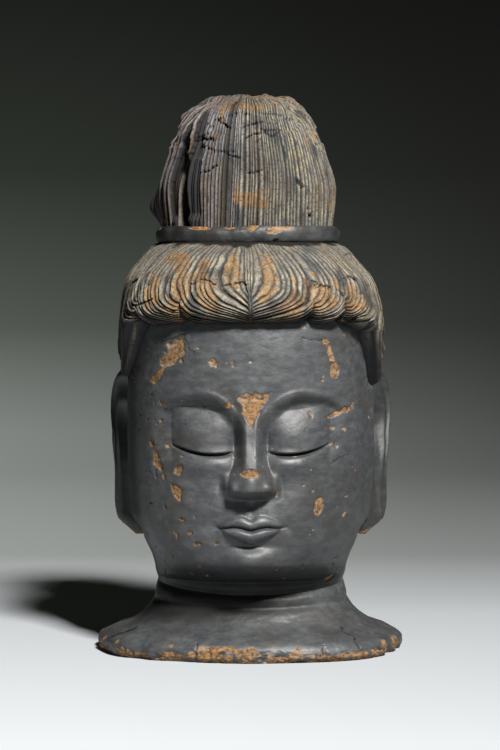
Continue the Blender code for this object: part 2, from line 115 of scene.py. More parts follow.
class HeadColours(bpy.types.PropertyGroup):
    lacquer: colour("Lacquer", "Aged black lacquer of the face and neck", "#313335")
    lacquer_worn: colour("Worn lacquer", "Lacquer rubbed brown", "#2e2a25")
    # Painted shade: the dark colour the lacquer turns to where the mark of painted shade is set.
    lacquer_painted_shade: colour("Clean lacquer", "Lacquer in sheltered places, free of dust", "#161615")
    dust: colour("Dust", "Grey dust that lies in the surface", "#6c6d6e")
    ground: colour("Ground", "Ochre ground laid bare where lacquer flaked off", "#7a5a33")
    ground_dark: colour("Dark ground", "Brown clay and glue in the deeper breaks", "#35271d")
    ground_pale: colour("Pale ground", "Pale cloth and dust on the bare ground", "#86705a")
    # Also used as painted shade where the hair's ridge mark is lowered: the roll's underside, the partings
    # and the gaps between locks.
    groove: colour("Groove", "Dark bottom of the grooves between strands", "#15130f")
    strand: colour("Strand", "Grey-brown worn ridge of a strand", "#544a3c")
    strand_blue: colour("Cool strand", "Blue-grey lacquer left on the strands", "#3d4044")
    strand_grey: colour("Grey dust strand", "Cool grey dust on the crest of a strand", "#85837a")
    # Dark colour of strands without dust, also used as painted shade on the shaded side of the hair.
    strand_clean_and_painted_shade: colour("Clean strand", "Dark strand without dust", "#191819")
    strand_tan: colour("Dusty strand", "Tan and greenish dust on the strands", "#9c8f6e")
    # Darker dust tint for the left half of the topknot, the side in shade: dust colour with painted shade.
    strand_violet: colour("Violet strand", "Violet grey dust on the shaded side of the topknot", "#7b7680")


class Form:
    """The head's main shape: level ovals at stations from the floor to the top, and where it stands."""

    def __init__(self, sizes, counts):
        self.s = sizes
        self.counts = counts
        self.nose_base = sizes.chin_height + sizes.face_third
        self.brow = self.nose_base + sizes.face_third
        self.hairline = self.brow + sizes.face_third
        self.band_foot = self.hairline + sizes.fringe_rise
        self.band_top = self.band_foot + sizes.band_height
        self.top = self.band_top + sizes.topknot_height
        self.unit = sizes.face_third / 59
        self.stations = self.make_stations()
        steps = np.hypot(np.diff(self.stations[:, 0]), np.diff(self.stations[:, 1]))
        self.knots = np.concatenate(([0], np.cumsum(steps)))
        self.climbs = np.linspace(0, self.knots[-1], 4000)
        self.heights = curve_through(self.knots, self.stations[:, 0], self.climbs)
        self.shift = self.find_shift()

    def make_stations(self):
        """Height, half width, front reach, back reach and squareness of the oval at each station."""
        s = self.s
        face, front, back = s.face_half_width, s.face_front, s.skull_back
        chin, third = s.chin_height, s.face_third
        knot, depth, tall = s.topknot_half_width, s.topknot_half_depth, s.topknot_height
        rims = np.array([s.rim_half_width, s.rim_front, s.rim_back])
        necks = np.array([s.neck_half_width, s.neck_front, s.neck_back])
        skirt_rows = [
            (share * s.skirt_height, *(necks + (rims - necks) * mix), 2.25)
            for share, mix in ((0.50, 0.80), (0.72, 0.43), (1.05, 0.15))
        ]
        rows = [
            (0.0, *(rims - 0.003), 2.3),
            (0.45 * s.rim_edge, *rims, 2.3),
            (s.rim_edge, *(rims - 0.001), 2.3),
            *skirt_rows,
            (0.67 * chin, *(necks + (0.0020, 0.0010, 0.0010)), 2.1),
            (0.88 * chin, *necks, 2.1),
            (0.97 * chin, s.neck_half_width + 0.001, 0.80 * front, 0.62 * back, 2.1),
            (chin + 0.15 * third, 0.855 * face, 0.915 * front, 0.66 * back, 2.2),
            (chin + 0.38 * third, 0.925 * face, 0.945 * front, 0.72 * back, 2.35),
            (chin + 0.68 * third, 0.970 * face, 0.965 * front, 0.815 * back, 2.4),
            (chin + 1.10 * third, 0.994 * face, 0.984 * front, 0.91 * back, 2.4),
            (chin + 1.60 * third, face, front, 0.98 * back, 2.4),
            (self.brow, face, 1.028 * front, 1.01 * back, 2.35),
            (chin + 2.45 * third, 0.990 * face, 1.045 * front, 1.015 * back, 2.3),
            (self.hairline, 0.972 * face, 1.020 * front, 0.98 * back, 2.25),
            (self.hairline + 0.45 * s.fringe_rise, 0.915 * face, 0.925 * front, 0.89 * back, 2.2),
            (self.hairline + 0.82 * s.fringe_rise, 0.780 * face, 0.745 * front, 0.71 * back, 2.15),
            (self.band_foot, 0.94 * knot, depth, 1.08 * depth, 2.15),
            (self.band_top, 0.965 * knot, 0.98 * depth, depth, 2.2),
            (self.band_top + 0.27 * tall, knot, depth, 1.02 * depth, 2.2),
            (self.band_top + 0.48 * tall, 0.925 * knot, 0.965 * depth, 0.98 * depth, 2.2),
            (self.band_top + 0.73 * tall, 0.785 * knot, 0.850 * depth, 0.87 * depth, 2.2),
            (self.band_top + 0.875 * tall, 0.645 * knot, 0.720 * depth, 0.74 * depth, 2.15),
            (self.band_top + 0.965 * tall, 0.460 * knot, 0.540 * depth, 0.55 * depth, 2.1),
            (self.top, 0.0, 0.0, 0.0, 2.0),
        ]
        return np.array(rows)

    def plain_radius(self, turn, height):
        """Distance from the axis to the plain oval: a rounded box curve, its front and back drawn apart."""
        climb = np.interp(height, self.heights, self.climbs)
        half, front, back, square = (curve_through(self.knots, c, climb) for c in self.stations.T[1:])
        reach = np.maximum(np.where(np.cos(turn) > 0, front, back), 1e-6)
        half = np.maximum(half, 1e-6)
        sides = np.abs(np.sin(turn) / half) ** square + np.abs(np.cos(turn) / reach) ** square
        return sides ** (-1 / square)

    def find_shift(self):
        """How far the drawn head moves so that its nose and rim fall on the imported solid's."""
        low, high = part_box(NODE)
        tip_heights = np.linspace(self.nose_base - 0.005, self.nose_base + 0.02, 60)
        turn, z = np.meshgrid(np.linspace(0, 0.16, 30), tip_heights)
        plain = self.plain_radius(turn, z)
        nose = plain * np.cos(turn) + face_relief(self, plain * np.sin(turn), z)
        return np.array([0.5 * (low[0] + high[0]) + 0.0005, low[1] + nose.max() + 0.0004, 0.0])


def ramp(low, high, value):
    """0 below low, 1 above high, and a smooth rise between them."""
    t = np.clip((value - low) / (high - low), 0, 1)
    return t * t * (3 - 2 * t)


def bell(value, centre, width):
    """1 at the centre, falling smoothly to nothing about two widths away."""
    return np.exp(-(((value - centre) / width) ** 2))


def mound(x, z, centre_x, centre_z, half_x, half_z):
    """A round swelling, 1 at its centre."""
    return bell(x, centre_x, half_x) * bell(z, centre_z, half_z)


def curve_through(knots, values, at):
    """Smooth curve through stations that never swings past them (a monotone cubic)."""
    knots = np.asarray(knots, float)
    values = np.asarray(values, float)
    step = np.diff(knots)
    slope = np.diff(values) / step
    before, after = slope[:-1], slope[1:]
    same_way = before * after > 0
    tangent = np.concatenate(([slope[0]], np.zeros(len(before)), [slope[-1]]))
    tangent[1:-1][same_way] = 2 / (1 / before[same_way] + 1 / after[same_way])
    index = np.clip(np.searchsorted(knots, at) - 1, 0, len(step) - 1)
    t = np.clip((at - knots[index]) / step[index], 0, 1)
    start = values[index] * (1 + 2 * t) * (1 - t) ** 2 + tangent[index] * step[index] * t * (1 - t) ** 2
    end = values[index + 1] * t * t * (3 - 2 * t) + tangent[index + 1] * step[index] * t * t * (t - 1)
    return start + end


def random_at(whole, seed):
    """A fixed random number from 0 to 1 for each whole number."""
    n = (whole.astype(np.int64) * 73856093) ^ (seed * 19349663)
    n = ((n ^ (n >> 13)) * 1274126177) & 0x7FFFFFFF
    return ((n ^ (n >> 15)) & 0xFFFF) / 65535


def noise(points, grain, seed=0):
    """Soft random field from -1 to 1: random values at the corners of cubes of this grain, blended."""
    scaled = points / grain
    cell = np.floor(scaled).astype(np.int64)
    t = scaled - cell
    t = t * t * (3 - 2 * t)
    total = 0
    for corner in itertools.product((0, 1), repeat=3):
        at = cell + np.array(corner)
        weight = np.prod(np.where(corner, t, 1 - t), axis=-1)
        key = at[..., 0] * 15731 + at[..., 1] * 789221 + at[..., 2] * 1376312589
        total = total + weight * (2 * random_at(key, seed) - 1)
    return total


def rough(points, grain, seed=0, octaves=3):
    """Noise on noise: each finer layer has half the grain and half the strength."""
    return sum(noise(points, grain / 2**k, seed + k) / 2**k for k in range(octaves))


def ridges(turns):
    """Rows of half-round ridges with sharp grooves between them, one ridge for each turn."""
    across = 2 * (turns - np.floor(turns)) - 1
    return np.sqrt(np.clip(1 - across**2, 0, 1))


def strand_noise(strand, grain, seed):
    """Noise that changes only from strand to strand."""
    return noise(np.stack((strand / 3, 0 * strand, 0 * strand), axis=-1), grain, seed)


def path_distance(x, z, path):
    """Distance from each point to a broken line of a few corners, in the plane of the front view."""
    nearest = np.full(x.shape, np.inf)
    for (ax, az), (bx, bz) in itertools.pairwise(path):
        dx, dz = bx - ax, bz - az
        along = np.clip(((x - ax) * dx + (z - az) * dz) / (dx * dx + dz * dz), 0, 1)
        nearest = np.minimum(nearest, np.hypot(x - ax - along * dx, z - az - along * dz))
    return nearest


def cracks(points, paths, width, seed):
    """1 in the bottom of ragged cracks along paths given in millimetres on the front, 0 away from them."""
    x, z = points[..., 0] / MM, points[..., 2] / MM
    wander = 1.1 * rough(points, 0.005, seed)
    open_here = width * np.clip(0.75 + 0.7 * noise(points, 0.004, seed + 7), 0.25, 1.4)
    depth = np.zeros(x.shape)
    for path in paths:
        gap = path_distance(x + wander, z + 1.2 * wander, path)
        depth = np.maximum(depth, ramp(open_here, 0.25 * open_here, gap))
    return depth * (points[..., 1] < 0)


def patches(points, spots, seed, grain=0.006, ragged=0.45, shift=0):
    """1 inside ragged patches on the front, each given as centre, half sizes (mm), tilt (degrees), taper.

    A patch with a taper has a flat top and comes to a point at its lower end. The shift moves the edge.
    """
    x, z = points[..., 0] / MM, points[..., 2] / MM
    fray = ragged * rough(points, grain, seed, 4) + shift
    inside = np.zeros(x.shape)
    for centre_x, centre_z, half_x, half_z, tilt, *taper in spots:
        c, s = math.cos(math.radians(tilt)), math.sin(math.radians(tilt))
        along = ((z - centre_z) * c - (x - centre_x) * s) / half_z
        narrow = 1 + sum(taper) * np.clip(along, -0.95, 1)
        across = ((x - centre_x) * c + (z - centre_z) * s) / half_x / narrow
        reach = np.maximum(np.abs(across), np.abs(along)) if taper else np.hypot(across, along)
        inside = np.maximum(inside, ramp(1.12, 0.95, reach + fray))
    return inside * (points[..., 1] < 0)


# Where lacquer has flaked off, in millimetres on the front view: centre x and z, half sizes, tilt
FACE_LOSSES = (
    (-52.5, 218.0, 5.5, 7.5, -35), (-57.0, 211.5, 5.0, 6.5, -30), (-65.5, 199.5, 2.4, 6.0, -40),
    (-26.2, 209.8, 1.9, 3.2, 0), (51.4, 224.0, 2.4, 2.2, 10), (55.2, 215.3, 2.0, 5.5, 22),
    (58.0, 203.5, 3.4, 4.6, 10), (0.3, 175.5, 5.4, 10.0, 0, 0.93),
    (0.5, 133.5, 8.0, 2.4, 0), (-47.6, 182.2, 1.5, 1.2, 0), (-32.4, 179.5, 1.6, 1.0, 0),
    (60.5, 173.0, 6.0, 1.3, 22), (66.5, 176.0, 3.2, 2.2, 10), (-64.9, 138.5, 2.6, 8.5, 20),
    (-50.4, 134.0, 2.4, 3.6, -20), (-52.4, 118.5, 3.2, 7.5, 25), (-60.5, 129.0, 1.8, 2.6, 0),
    (-47.6, 100.0, 2.4, 1.1, -20), (-42.0, 91.0, 2.2, 1.6, 0), (-37.3, 83.0, 2.6, 1.4, 10),
    (-23.5, 84.0, 1.8, 1.4, 0), (47.0, 108.5, 2.6, 5.2, -12), (67.6, 114.6, 1.3, 1.0, 0),
    (57.3, 163.0, 1.6, 1.2, 0), (-70.0, 152.0, 1.5, 3.0, 10), (-58.0, 150.0, 1.3, 1.6, 0),
)
FACE_SCRATCHES = (
    ((55, 138), (62, 141.5), (69, 144)),
    ((36, 226), (44, 224), (52, 225)),
    ((-8, 186), (-3, 184.5), (3, 186), (9, 185)),
    ((-44, 220), (-40, 216)),
    ((-62, 224), (-46, 229)),
    ((-46, 229), (-44, 222)),
)
HAIR_OCHRE = (
    (-11, 272, 4.5, 10, 0), (-46.6, 262, 5, 20, 0), (-31, 261, 6, 15, 10), (13, 266, 5, 12, -10),
    (48, 256, 12, 10, 0), (-69, 257, 5, 11, 0), (32, 248, 7, 7, 0), (-52, 245, 9, 8, 0),
)
HAIR_HOLES = ((76.6, 233, 3.0, 6.0, 10), (80, 224, 2.2, 3, 0))
HAIR_CRACKS = (
    ((-41, 264), (-33, 266), (-23, 264)),
    ((-18, 263), (-9, 264.5), (-2, 263)),
    ((43.5, 265), (48, 262), (56, 263), (62, 259), (66, 255)),
    ((64, 266), (70, 268), (77, 266)),
    ((-84, 249), (-76, 250), (-69, 253)),
    ((-86, 262), (-80, 266)),
    ((74, 285), (69, 283)),
)
TOPKNOT_CRACKS = (
    ((-3, 373), (6, 376), (12, 377)),
    ((-1, 365), (5, 368), (11, 369)),
    ((12, 374), (15, 369), (19, 367), (23, 369), (26, 372)),
    ((-34, 341), (-28, 342), (-21, 347)),
    ((-19, 355), (-12, 352.5), (-5.6, 351.6)),
    ((-1.4, 341), (5, 341), (11, 343)),
    ((-24, 379), (-18, 376), (-13, 372)),
)
TOPKNOT_GAPS = (((-40, 363.5), (-32, 365.5), (-25, 364.5)),)
TOPKNOT_PITS = (
    (37, 335, 1.6, 2.6, 30), (40, 331, 1.5, 1.8, 0), (46, 311, 1.8, 1.6, 0), (44, 316, 1.0, 1.2, 0),
)
BAND_LOSSES = (
    (4.5, 303.5, 4.5, 2.6, 0), (22, 301, 5.5, 2.2, 10), (30, 302, 8, 1.5, 0), (-40, 303, 6, 1.2, 0),
)
RIM_CRACKS = (
    ((-103, 10), (-95, 14), (-82, 19)),
    ((-38, 2), (-38.5, 8), (-37, 14)),
    ((54, 2), (52, 8), (51, 13)),
    ((78, 6), (72, 14), (64, 21)),
)

# Bites out of the rim's edge: angle from the front and half width in degrees, and depth in metres
RIM_BITES = ((-52, 5, 0.0035), (72, 3, 0.0045), (84, 2.5, 0.0030), (128, 7, 0.003))

# Angles in degrees where one lobe of the fringe ends and the next begins, the height of the notch there,
# and how much higher the broken sideburn at the left ends
LOBE_ENDS = (-53, -28, 24.5, 40)
LOBE_RISE = 0.0028
SIDEBURN_LIFT = 0.016

# Depths in metres of a flaked patch, a scratch, a crack in the hair, one in the topknot, and fine grain
FLAKE_DEPTH = 0.0009
SCRATCH_DEPTH = 0.0006
HAIR_CRACK_DEPTH = 0.0016
TOPKNOT_CRACK_DEPTH = 0.0022
BUMP_DEPTH = 0.0006

# Distances behind the head in metres and the reflectance of the paper sweep there: darker with distance as
# painted shade
# in place of the light falling off, and darker out of view in front to cut the light the floor throws back.
# Below them, in metres:
# where the paper begins, where it bends up, the radius of the bend, half its width, and its far top edge
PAPER_PAINTED_TONES = (
    (-1.0, 0.05), (-0.60, 0.08), (-0.45, 0.38), (0.2, 0.37), (0.65, 0.185),
    (1.4, 0.14), (2.0, 0.093), (2.5, 0.029), (3.0, 0.0075), (3.5, 0.0015),
)
PAPER_FRONT, PAPER_BEND, PAPER_RADIUS, PAPER_HALF_WIDTH, PAPER_TOP = -6.0, 1.6, 2.6, 8.0, (4.4, 6.0)

# Each light's name, place, the point it faces, its side in metres, its power in watts and its tint
LIGHTS = (
    ("key light", (0.72, -2.03, 2.12), (0, 0, 0.18), 0.40, 247.0, "#fffdfa"),
    ("fill light", (-1.6, -1.6, 0.9), (0, 0, 0.2), 1.2, 0.3, "#f4f6e6"),
    ("backdrop light", (-0.8, 1.7, 1.9), (-1.4, 4.2, 0.4), 1.4, 6.0, "#ffffff"),
)
ROOM_COLOUR, ROOM_STRENGTH = "#2b2d26", 0.9

# Place of the camera in metres, its dip in degrees, and its lens and sensor in millimetres
CAMERA_PLACE, CAMERA_DIP, LENS, SENSOR = (0.0, -2.2, 0.294), 2.53, 146.7, 36.0


def brow_side(m, z):
    """Millimetres inside the line that runs down the nose and up over the eye; negative outside it."""
    peak_m, peak_z, root_m, root_z = 37.0, 127.5, 4.6, 92.0
    over = np.clip((z - root_z) / (peak_z - root_z), 0, None)
    along = np.clip((peak_m - m) / (peak_m - root_m), 0, None)
    inner = (1 - np.hypot(along, over)) * 0.5 * (peak_m - root_m + peak_z - root_z)
    outer = peak_z - 7.0 * ((m - peak_m) / 28.0) ** 2 - z
    return np.where(m < peak_m, inner, outer)


def nose_relief(m, z):
    """A straight ridge that widens to a rounded tip, with small wings and a level underside."""
    down = (140, 118, 108, 92, 78, 67, 62, 59.5, 57, 54, 50)
    reach = curve_through(down[::-1], (0, 0.5, 8, 16.5, 20.5, 21, 18, 12, 7, 3, 0), z)
    top_half = curve_through((50, 62, 78, 100, 118, 140), (6.5, 6.0, 3.6, 2.8, 4.2, 9), z)
    foot_half = curve_through((50, 60, 68, 80, 98, 118, 140), (15, 16.5, 16, 12.5, 10.5, 12, 22), z)
    bridge = ramp(foot_half, top_half, m) ** 1.15
    tip = np.clip(1 - (m / (0.95 * foot_half)) ** 2, 0, 1) ** 0.85
    ridge = reach * (bridge + (tip - bridge) * ramp(84, 70, z))
    wings = 9.0 * mound(m, z, 14.5, 64.0, 4.8, 5.6)
    creases = 1.8 * mound(m, z, 21.0, 65.0, 2.4, 7.0)
    return ridge + wings * ramp(53.5, 58.0, z) - creases


def eye_relief(m, z):
    """A lowered upper lid swelling below the brow, its edge over a narrow shadow, and a soft lower lid."""
    across = np.clip((m - 33.5) / 21.5, -1.25, 1.25)
    edge = 90.0 - 3.6 * (1 - across**2) + 2.6 * across
    socket = 7.0 * ramp(0, 8.5, brow_side(m, z))
    socket = socket * ramp(76, 94, z) * ramp(74, 52, m)
    arch = 0.9 * bell(brow_side(m, z), -1.4, 1.8) * ramp(90, 110, z) * ramp(66, 54, m)
    lid = 8.2 * np.clip(1 - across**2, 0, 1) ** 0.75
    lid = lid * np.clip(1 - (np.clip(z - edge - 7, 0, None) / 23.0) ** 2, 0, 1)
    lid = lid * ramp(edge - 0.5, edge + 0.6, z) * (0.72 + 0.28 * ramp(-2, 9, z - edge))
    open_here = ramp(1.15, 0.85, np.abs(across))
    below = 5.2 * np.clip(1 - across**2, 0, 1) ** 0.8 * ramp(edge - 0.3, edge - 3.4, z)
    below = below * ramp(edge - 22, edge - 4, z)
    shadow = 1.5 * bell(z, edge - 0.9, 1.1) * open_here
    return arch - socket + lid + below - shadow


def mouth_relief(m, z):
    """Small full lips on a soft swelling: a bowed line, a cupid's bow and a rounded lower lip."""
    half = 24.0
    along = np.clip(m / half, 0, 1.3)
    line = 34.5 - 1.0 * bell(m, 0, 4.5) + 1.0 * bell(m, 11, 6) + 0.9 * ramp(0.7, 1.1, along)
    taper = np.clip(1 - along**2.2, 0, 1) ** 0.75
    lower_taper = np.clip(1 - (m / 20.5) ** 2, 0, 1) ** 0.7
    upper_edge = line + 8.6 * taper - 1.5 * bell(m, 0, 3.2)
    lower_edge = line - 9.6 * lower_taper
    up = np.clip((z - line) / (upper_edge - line + 0.4), 0, 1)
    low = np.clip((line - z) / (line - lower_edge + 0.4), 0, 1)
    upper_lip = 4.2 * taper * (4 * up * (1 - up)) ** 0.60 * (1 - 0.35 * up)
    lower_lip = 5.6 * lower_taper * (4 * low * (1 - low)) ** 0.62
    swell = 7.5 * mound(m, z, 0, 36, 29, 22)
    seam = 1.8 * bell(z, line, 1.0) * ramp(1.15, 0.80, along)
    corner = 1.6 * mound(m, z, 25.0, 35, 4.2, 4.6)
    groove = 1.5 * mound(m, z, 0, 49, 3.2, 5.5)
    return swell + upper_lip + lower_lip - seam - corner - groove


def cheek_and_chin_relief(m, z):
    """Full cheeks, a rounded chin and the hollow between chin and lower lip."""
    cheeks = 3.6 * mound(m, z, 40, 52, 24, 26)
    chin = 9.0 * mound(m, z, 0, 10.5, 19, 10.0)
    hollow = 3.2 * mound(m, z, 0, 22.0, 15, 3.8)
    jowl = 2.6 * mound(m, z, 42, 20, 20, 15)
    return cheeks + chin - hollow + jowl


def face_relief(form, x, z):
    """All that stands forward of the plain oval of the face, laid out in millimetres above the chin."""
    m = np.abs(x) / form.unit
    up = (z - form.s.chin_height) / form.unit
    relief = nose_relief(m, up) + eye_relief(m, up) + mouth_relief(m, up) + cheek_and_chin_relief(m, up)
    return relief * form.unit


def hairline_height(form, angle):
    """Height of the hair's lower edge at each angle from the front (degrees): lobed, shorter at the left."""
    notches = sum(LOBE_RISE * bell(angle, at, 2.4) for at in LOBE_ENDS)
    short_side = SIDEBURN_LIFT * bell(angle, -79, 5)
    return line_at(form, np.abs(angle)) + notches + short_side


def combed_angle(form, side, height, lobes):
    """Angle at the band, in degrees, of the strand that passes an angle from the front at a height.

    From the band the strands bow outwards. Towards the forehead they sweep inwards and gather on the
    middle line and at each lobe's inner edge; at the temples they run down along the hairline.
    """
    down = np.clip((form.band_foot - height) / form.s.fringe_rise, 0, 1.02)
    late = np.clip((down - 0.20) / 0.84, 0, 1) ** 4.2
    amount = 30 * ramp(0, 1.0, side) * (1 - 0.55 * ramp(3, 34, side))
    for inner_edge in lobes:
        past = side - inner_edge
        amount = amount + 10.0 * ramp(0, 2, past) * ramp(20, 2, past)
    inwards = amount * ramp(78, 45, side) * late
    lowered = np.clip((form.hairline - 0.008 - height) / form.s.face_third, 0, 0.65)
    outwards = 15 * (lowered / 0.65) ** 0.6 * ramp(122, 82, side)
    bulge = 4.5 * np.sin(np.pi * np.clip(down, 0, 1)) * ramp(1, 14, side) * ramp(80, 55, side)
    return side + inwards - outwards - bulge


def cheek_fillet(form, angle, height):
    """Flesh that fills the corner between the cheek and the front edge of the ear."""
    bottom = form.s.chin_height + 0.46 * form.s.face_third
    here = ramp(bottom - 0.004, bottom + 0.012, height) * ramp(form.hairline, form.hairline - 0.030, height)
    return 0.70 * form.s.ear_thickness * bell(np.abs(angle), 88, 10) * here


def roll_height(side):
    """Height of the rolled lower edge of the hair: full over the forehead, thinner at the sides."""
    return 0.0060 + 0.0055 * ramp(72, 50, side)


def hair_thickness(form, side, height):
    """How far the combed hair stands out: full at the forehead, thin at the temples, tucked at the band."""
    s = form.s
    down = np.clip((form.band_foot - height) / s.fringe_rise, 0, 1)
    above = height - line_at(form, side)
    tucked = np.clip((form.band_foot + 0.001 - height) / 0.008, 0, 1)
    thin_top = (1 - 0.30 * ramp(0.45, 0.0, down)) * np.sqrt(1 - (1 - tucked) ** 2 * 0.96)
    swell = 1 + 0.10 * bell(above, 0.016, 0.012) * ramp(85, 60, side)
    low = ramp(form.hairline - 0.005, form.hairline - 0.035, height)
    sideburn = 1 - 0.50 * low * ramp(90, 78, side)
    around = 1 - 0.04 * ramp(50, 80, side) - 0.18 * ramp(100, 150, side)
    return s.hair_thickness * thin_top * swell * sideburn * around


def strand_columns(form, strand, lip_shares, rises):
    """Angles, row by row, at which the strands of the cap stand, so that the mesh follows the combing.

    A row lies at one share of the rolled lip's height, and then at one share of the way up to the band.
    """
    fine = np.linspace(0, 180, 3000)
    line, lip = line_at(form, fine), roll_height(fine)
    rows = []
    for lip_share, rise in zip(lip_shares, rises):
        height = line + lip * lip_share + (form.band_foot - line - lip) * rise
        row = np.zeros(strand.shape)
        for sign in (-1, 1):
            lobes = [sign * at for at in LOBE_ENDS if sign * at > 0]
            combed = np.maximum.accumulate(combed_angle(form, fine, height, lobes)) + 1e-3 * fine
            scaled = 180 * (combed - combed[0]) / (combed[-1] - combed[0])
            found = np.interp(np.abs(strand), scaled, fine)
            row = np.where(np.sign(strand) == sign, sign * found, row)
        rows.append(row)
    return np.array(rows)


def line_at(form, side):
    """Hairline without its lobes, the same on both sides."""
    third = form.s.face_third
    ear_top = form.hairline - 0.47 * third
    sideburn = form.hairline - 0.84 * third
    nape = form.s.chin_height + 0.30 * third
    around = (0, 38, 51, 62, 70, 75, 79, 84, 90, 102, 108, 115, 125, 180)
    drops = (0, 0.001, 0.0035, 0.008, 0.015, 0.030)
    below = (sideburn, sideburn + 0.001, ear_top, ear_top + 0.002, 0.5 * (ear_top + form.brow))
    heights = [form.hairline - drop for drop in drops] + [*below, form.nose_base, nape + 0.004, nape]
    return curve_through(around, heights, side)


def neck_crease(form, angle):
    """Height of the upper fold round the neck, which rises from the throat to the nape."""
    return (0.73 + 0.24 * (0.5 - 0.5 * np.cos(np.radians(angle)))) * form.s.chin_height


def neck_relief(form, angle, height):
    """Two soft creases that dip at the throat, with a fold of flesh swelling over each."""
    lift = 0.5 - 0.5 * np.cos(np.radians(angle))
    lower = (0.575 + 0.10 * lift) * form.s.chin_height
    fade = 0.25 + 0.75 * ramp(100, 55, np.abs(angle))
    fade = fade * ramp(160, 110, np.abs(angle))
    relief = 0
    for crease, strength in ((neck_crease(form, angle), 1.0), (lower, 0.75)):
        groove = bell(height, crease, 0.0024)
        fold = bell(height, crease + 0.006, 0.0042)
        relief = relief + strength * form.s.crease_depth * (0.45 * fold - 0.80 * groove)
    return relief * fade


def place_round(turn, radius, height):
    """Points at a turn from the front (radians, +X positive), a distance from the axis and a height."""
    return np.stack(np.broadcast_arrays(radius * np.sin(turn), -radius * np.cos(turn), height), axis=-1)


def turns_with(*spans):
    """Angles round the axis in radians, from spans given as (start degree, end degree, count)."""
    return np.radians(np.concatenate([np.linspace(a, b, n, endpoint=False) for a, b, n in spans]))


def ring_surface(name, form, points, marks, foot_rings=(), top_rings=(), mode="constant", outwards=True):
    """A closed piece from rings of points: quads between rings, and a fan to a pole at each end.

    Plain rings below and above the points close its ends. A mark holds a value for each point; the plain
    rings have 0, or in edge mode what the ring beside them has. The piece moves to where the solid stands.
    """
    lower, upper = (np.reshape(rings, (-1, *points.shape[1:])) for rings in (foot_rings, top_rings))
    rows = np.concatenate((lower, points, upper)) + form.shift
    count, around = rows.shape[:2]
    places = np.concatenate((rows.reshape(-1, 3), [rows[0].mean(0)], [rows[-1].mean(0)]))
    low, right = np.meshgrid(np.arange(count - 1), np.arange(around), indexing="ij")
    after = (right + 1) % around
    base = low * around
    quads = np.stack((base + right, base + after, base + around + after, base + around + right), -1)
    ring, beside = np.arange(around), (np.arange(around) + 1) % around
    last = (count - 1) * around
    foot = np.stack((np.full(around, count * around), beside, ring), -1)
    top = np.stack((np.full(around, count * around + 1), last + ring, last + beside), -1)
    quads = quads.reshape(-1, 4)
    if not outwards:
        quads, foot, top = quads[:, ::-1], foot[:, ::-1], top[:, ::-1]
    corners = np.concatenate((quads.ravel(), foot.ravel(), top.ravel()))
    sizes = np.concatenate((np.full(len(quads), 4), np.full(2 * around, 3)))
    mesh = bpy.data.meshes.new(name)
    mesh.vertices.add(len(places))
    mesh.vertices.foreach_set("co", places.astype(np.float32).ravel())
    mesh.loops.add(len(corners))
    mesh.loops.foreach_set("vertex_index", corners.astype(np.int32))
    mesh.polygons.add(len(sizes))
    mesh.polygons.foreach_set("loop_start", np.concatenate(([0], np.cumsum(sizes)[:-1])).astype(np.int32))
    mesh.update(calc_edges=True)
    mesh.validate()
    mesh.shade_smooth()
    for mark, values in marks.items():
        layer = mesh.attributes.new(mark, "FLOAT", "POINT")
        full = np.broadcast_to(values, points.shape[:2])
        spread = np.pad(full, ((len(lower), len(upper)), (0, 0)), mode=mode).ravel()
        poles = [np.mean(spread[:around]), np.mean(spread[-around:])]
        layer.data.foreach_set("value", np.concatenate((spread, poles)).astype(np.float32))
    piece = bpy.data.objects.new(name, mesh)
    bpy.context.scene.collection.objects.link(piece)
    return piece


def make_face(form):
    """Skin from the upper neck fold to under the hair: the plain oval, pushed forward by the face relief.

    Flaked patches lie a little below the lacquer, and the lacquer has slow brush swells.
    """
    turn = turns_with((-180, -100, 20), (-100, -50, 52), (-50, 50, 196), (50, 100, 52), (100, 180, 20))
    share = np.linspace(0, 1, 280)[:, None]
    angle = np.degrees(turn)[None, :]
    foot = neck_crease(form, angle)
    height = foot + (form.hairline + 0.012 - foot) * share
    turn = turn[None, :] + 0 * share
    angle = angle + 0 * share
    radius = form.plain_radius(turn, height) + neck_relief(form, angle, height)
    radius = radius + cheek_fillet(form, angle, height)
    under_hair = ramp(-0.001, 0.004, height - hairline_height(form, angle))
    points = place_round(turn, radius - 0.002 * under_hair, height)
    facing = ramp(0.10, 0.62, np.cos(turn)) * (1 - under_hair)
    facing = facing * ramp(0.84, 0.98, height / form.s.chin_height)
    points[..., 1] -= face_relief(form, points[..., 0], height) * facing
    bare = patches(points, FACE_LOSSES, 11)
    beside = bell(np.abs(points[..., 0] + 0.008), 0.056, 0.016)
    beside = beside * ramp(form.hairline, form.hairline - 0.03, height)
    bare = np.maximum(bare, ramp(1.02, 1.10, rough(points, 0.0060, 17, 3) + 0.30 * beside))
    scratch = 0.8 * cracks(points, FACE_SCRATCHES, 0.9, 23)
    swells = 0.00026 * rough(points, 0.018, 5) + 0.00009 * rough(points, 0.004, 9)
    depth = FLAKE_DEPTH * bare + SCRATCH_DEPTH * scratch - swells
    points -= place_round(turn, 1.0, 0.0) * depth[..., None]
    rings = ((0.5, 0.004), (0.93, 0.003))
    inner = [place_round(turn[0], radius[0] * scale, foot[0] - drop) for scale, drop in rings]
    over = [place_round(turn[-1], radius[-1] * scale, height[-1] + 0.004) for scale in (0.8, 0.4)]
    # Painted shade: darker lacquer with less sheen under the jaw, on the left side of the face where shade
    # falls, and slightly over the right half of the face below the brow.
    painted_jaw_shade = ramp(form.s.chin_height + 0.016, form.s.chin_height - 0.002, height) * ramp(100, 70, np.abs(angle))
    painted_left_shade = ramp(-52, -80, angle)
    cheek = 0.34 * ramp(0, 26, angle) * ramp(form.brow, form.nose_base, height)
    painted_shade = np.maximum(np.maximum(0.80 * painted_jaw_shade, 0.92 * painted_left_shade), cheek)
    marks = {"bare": bare, "scratch": scratch, "painted_shade": painted_shade}
    return ring_surface("face", form, points, marks, inner, over)


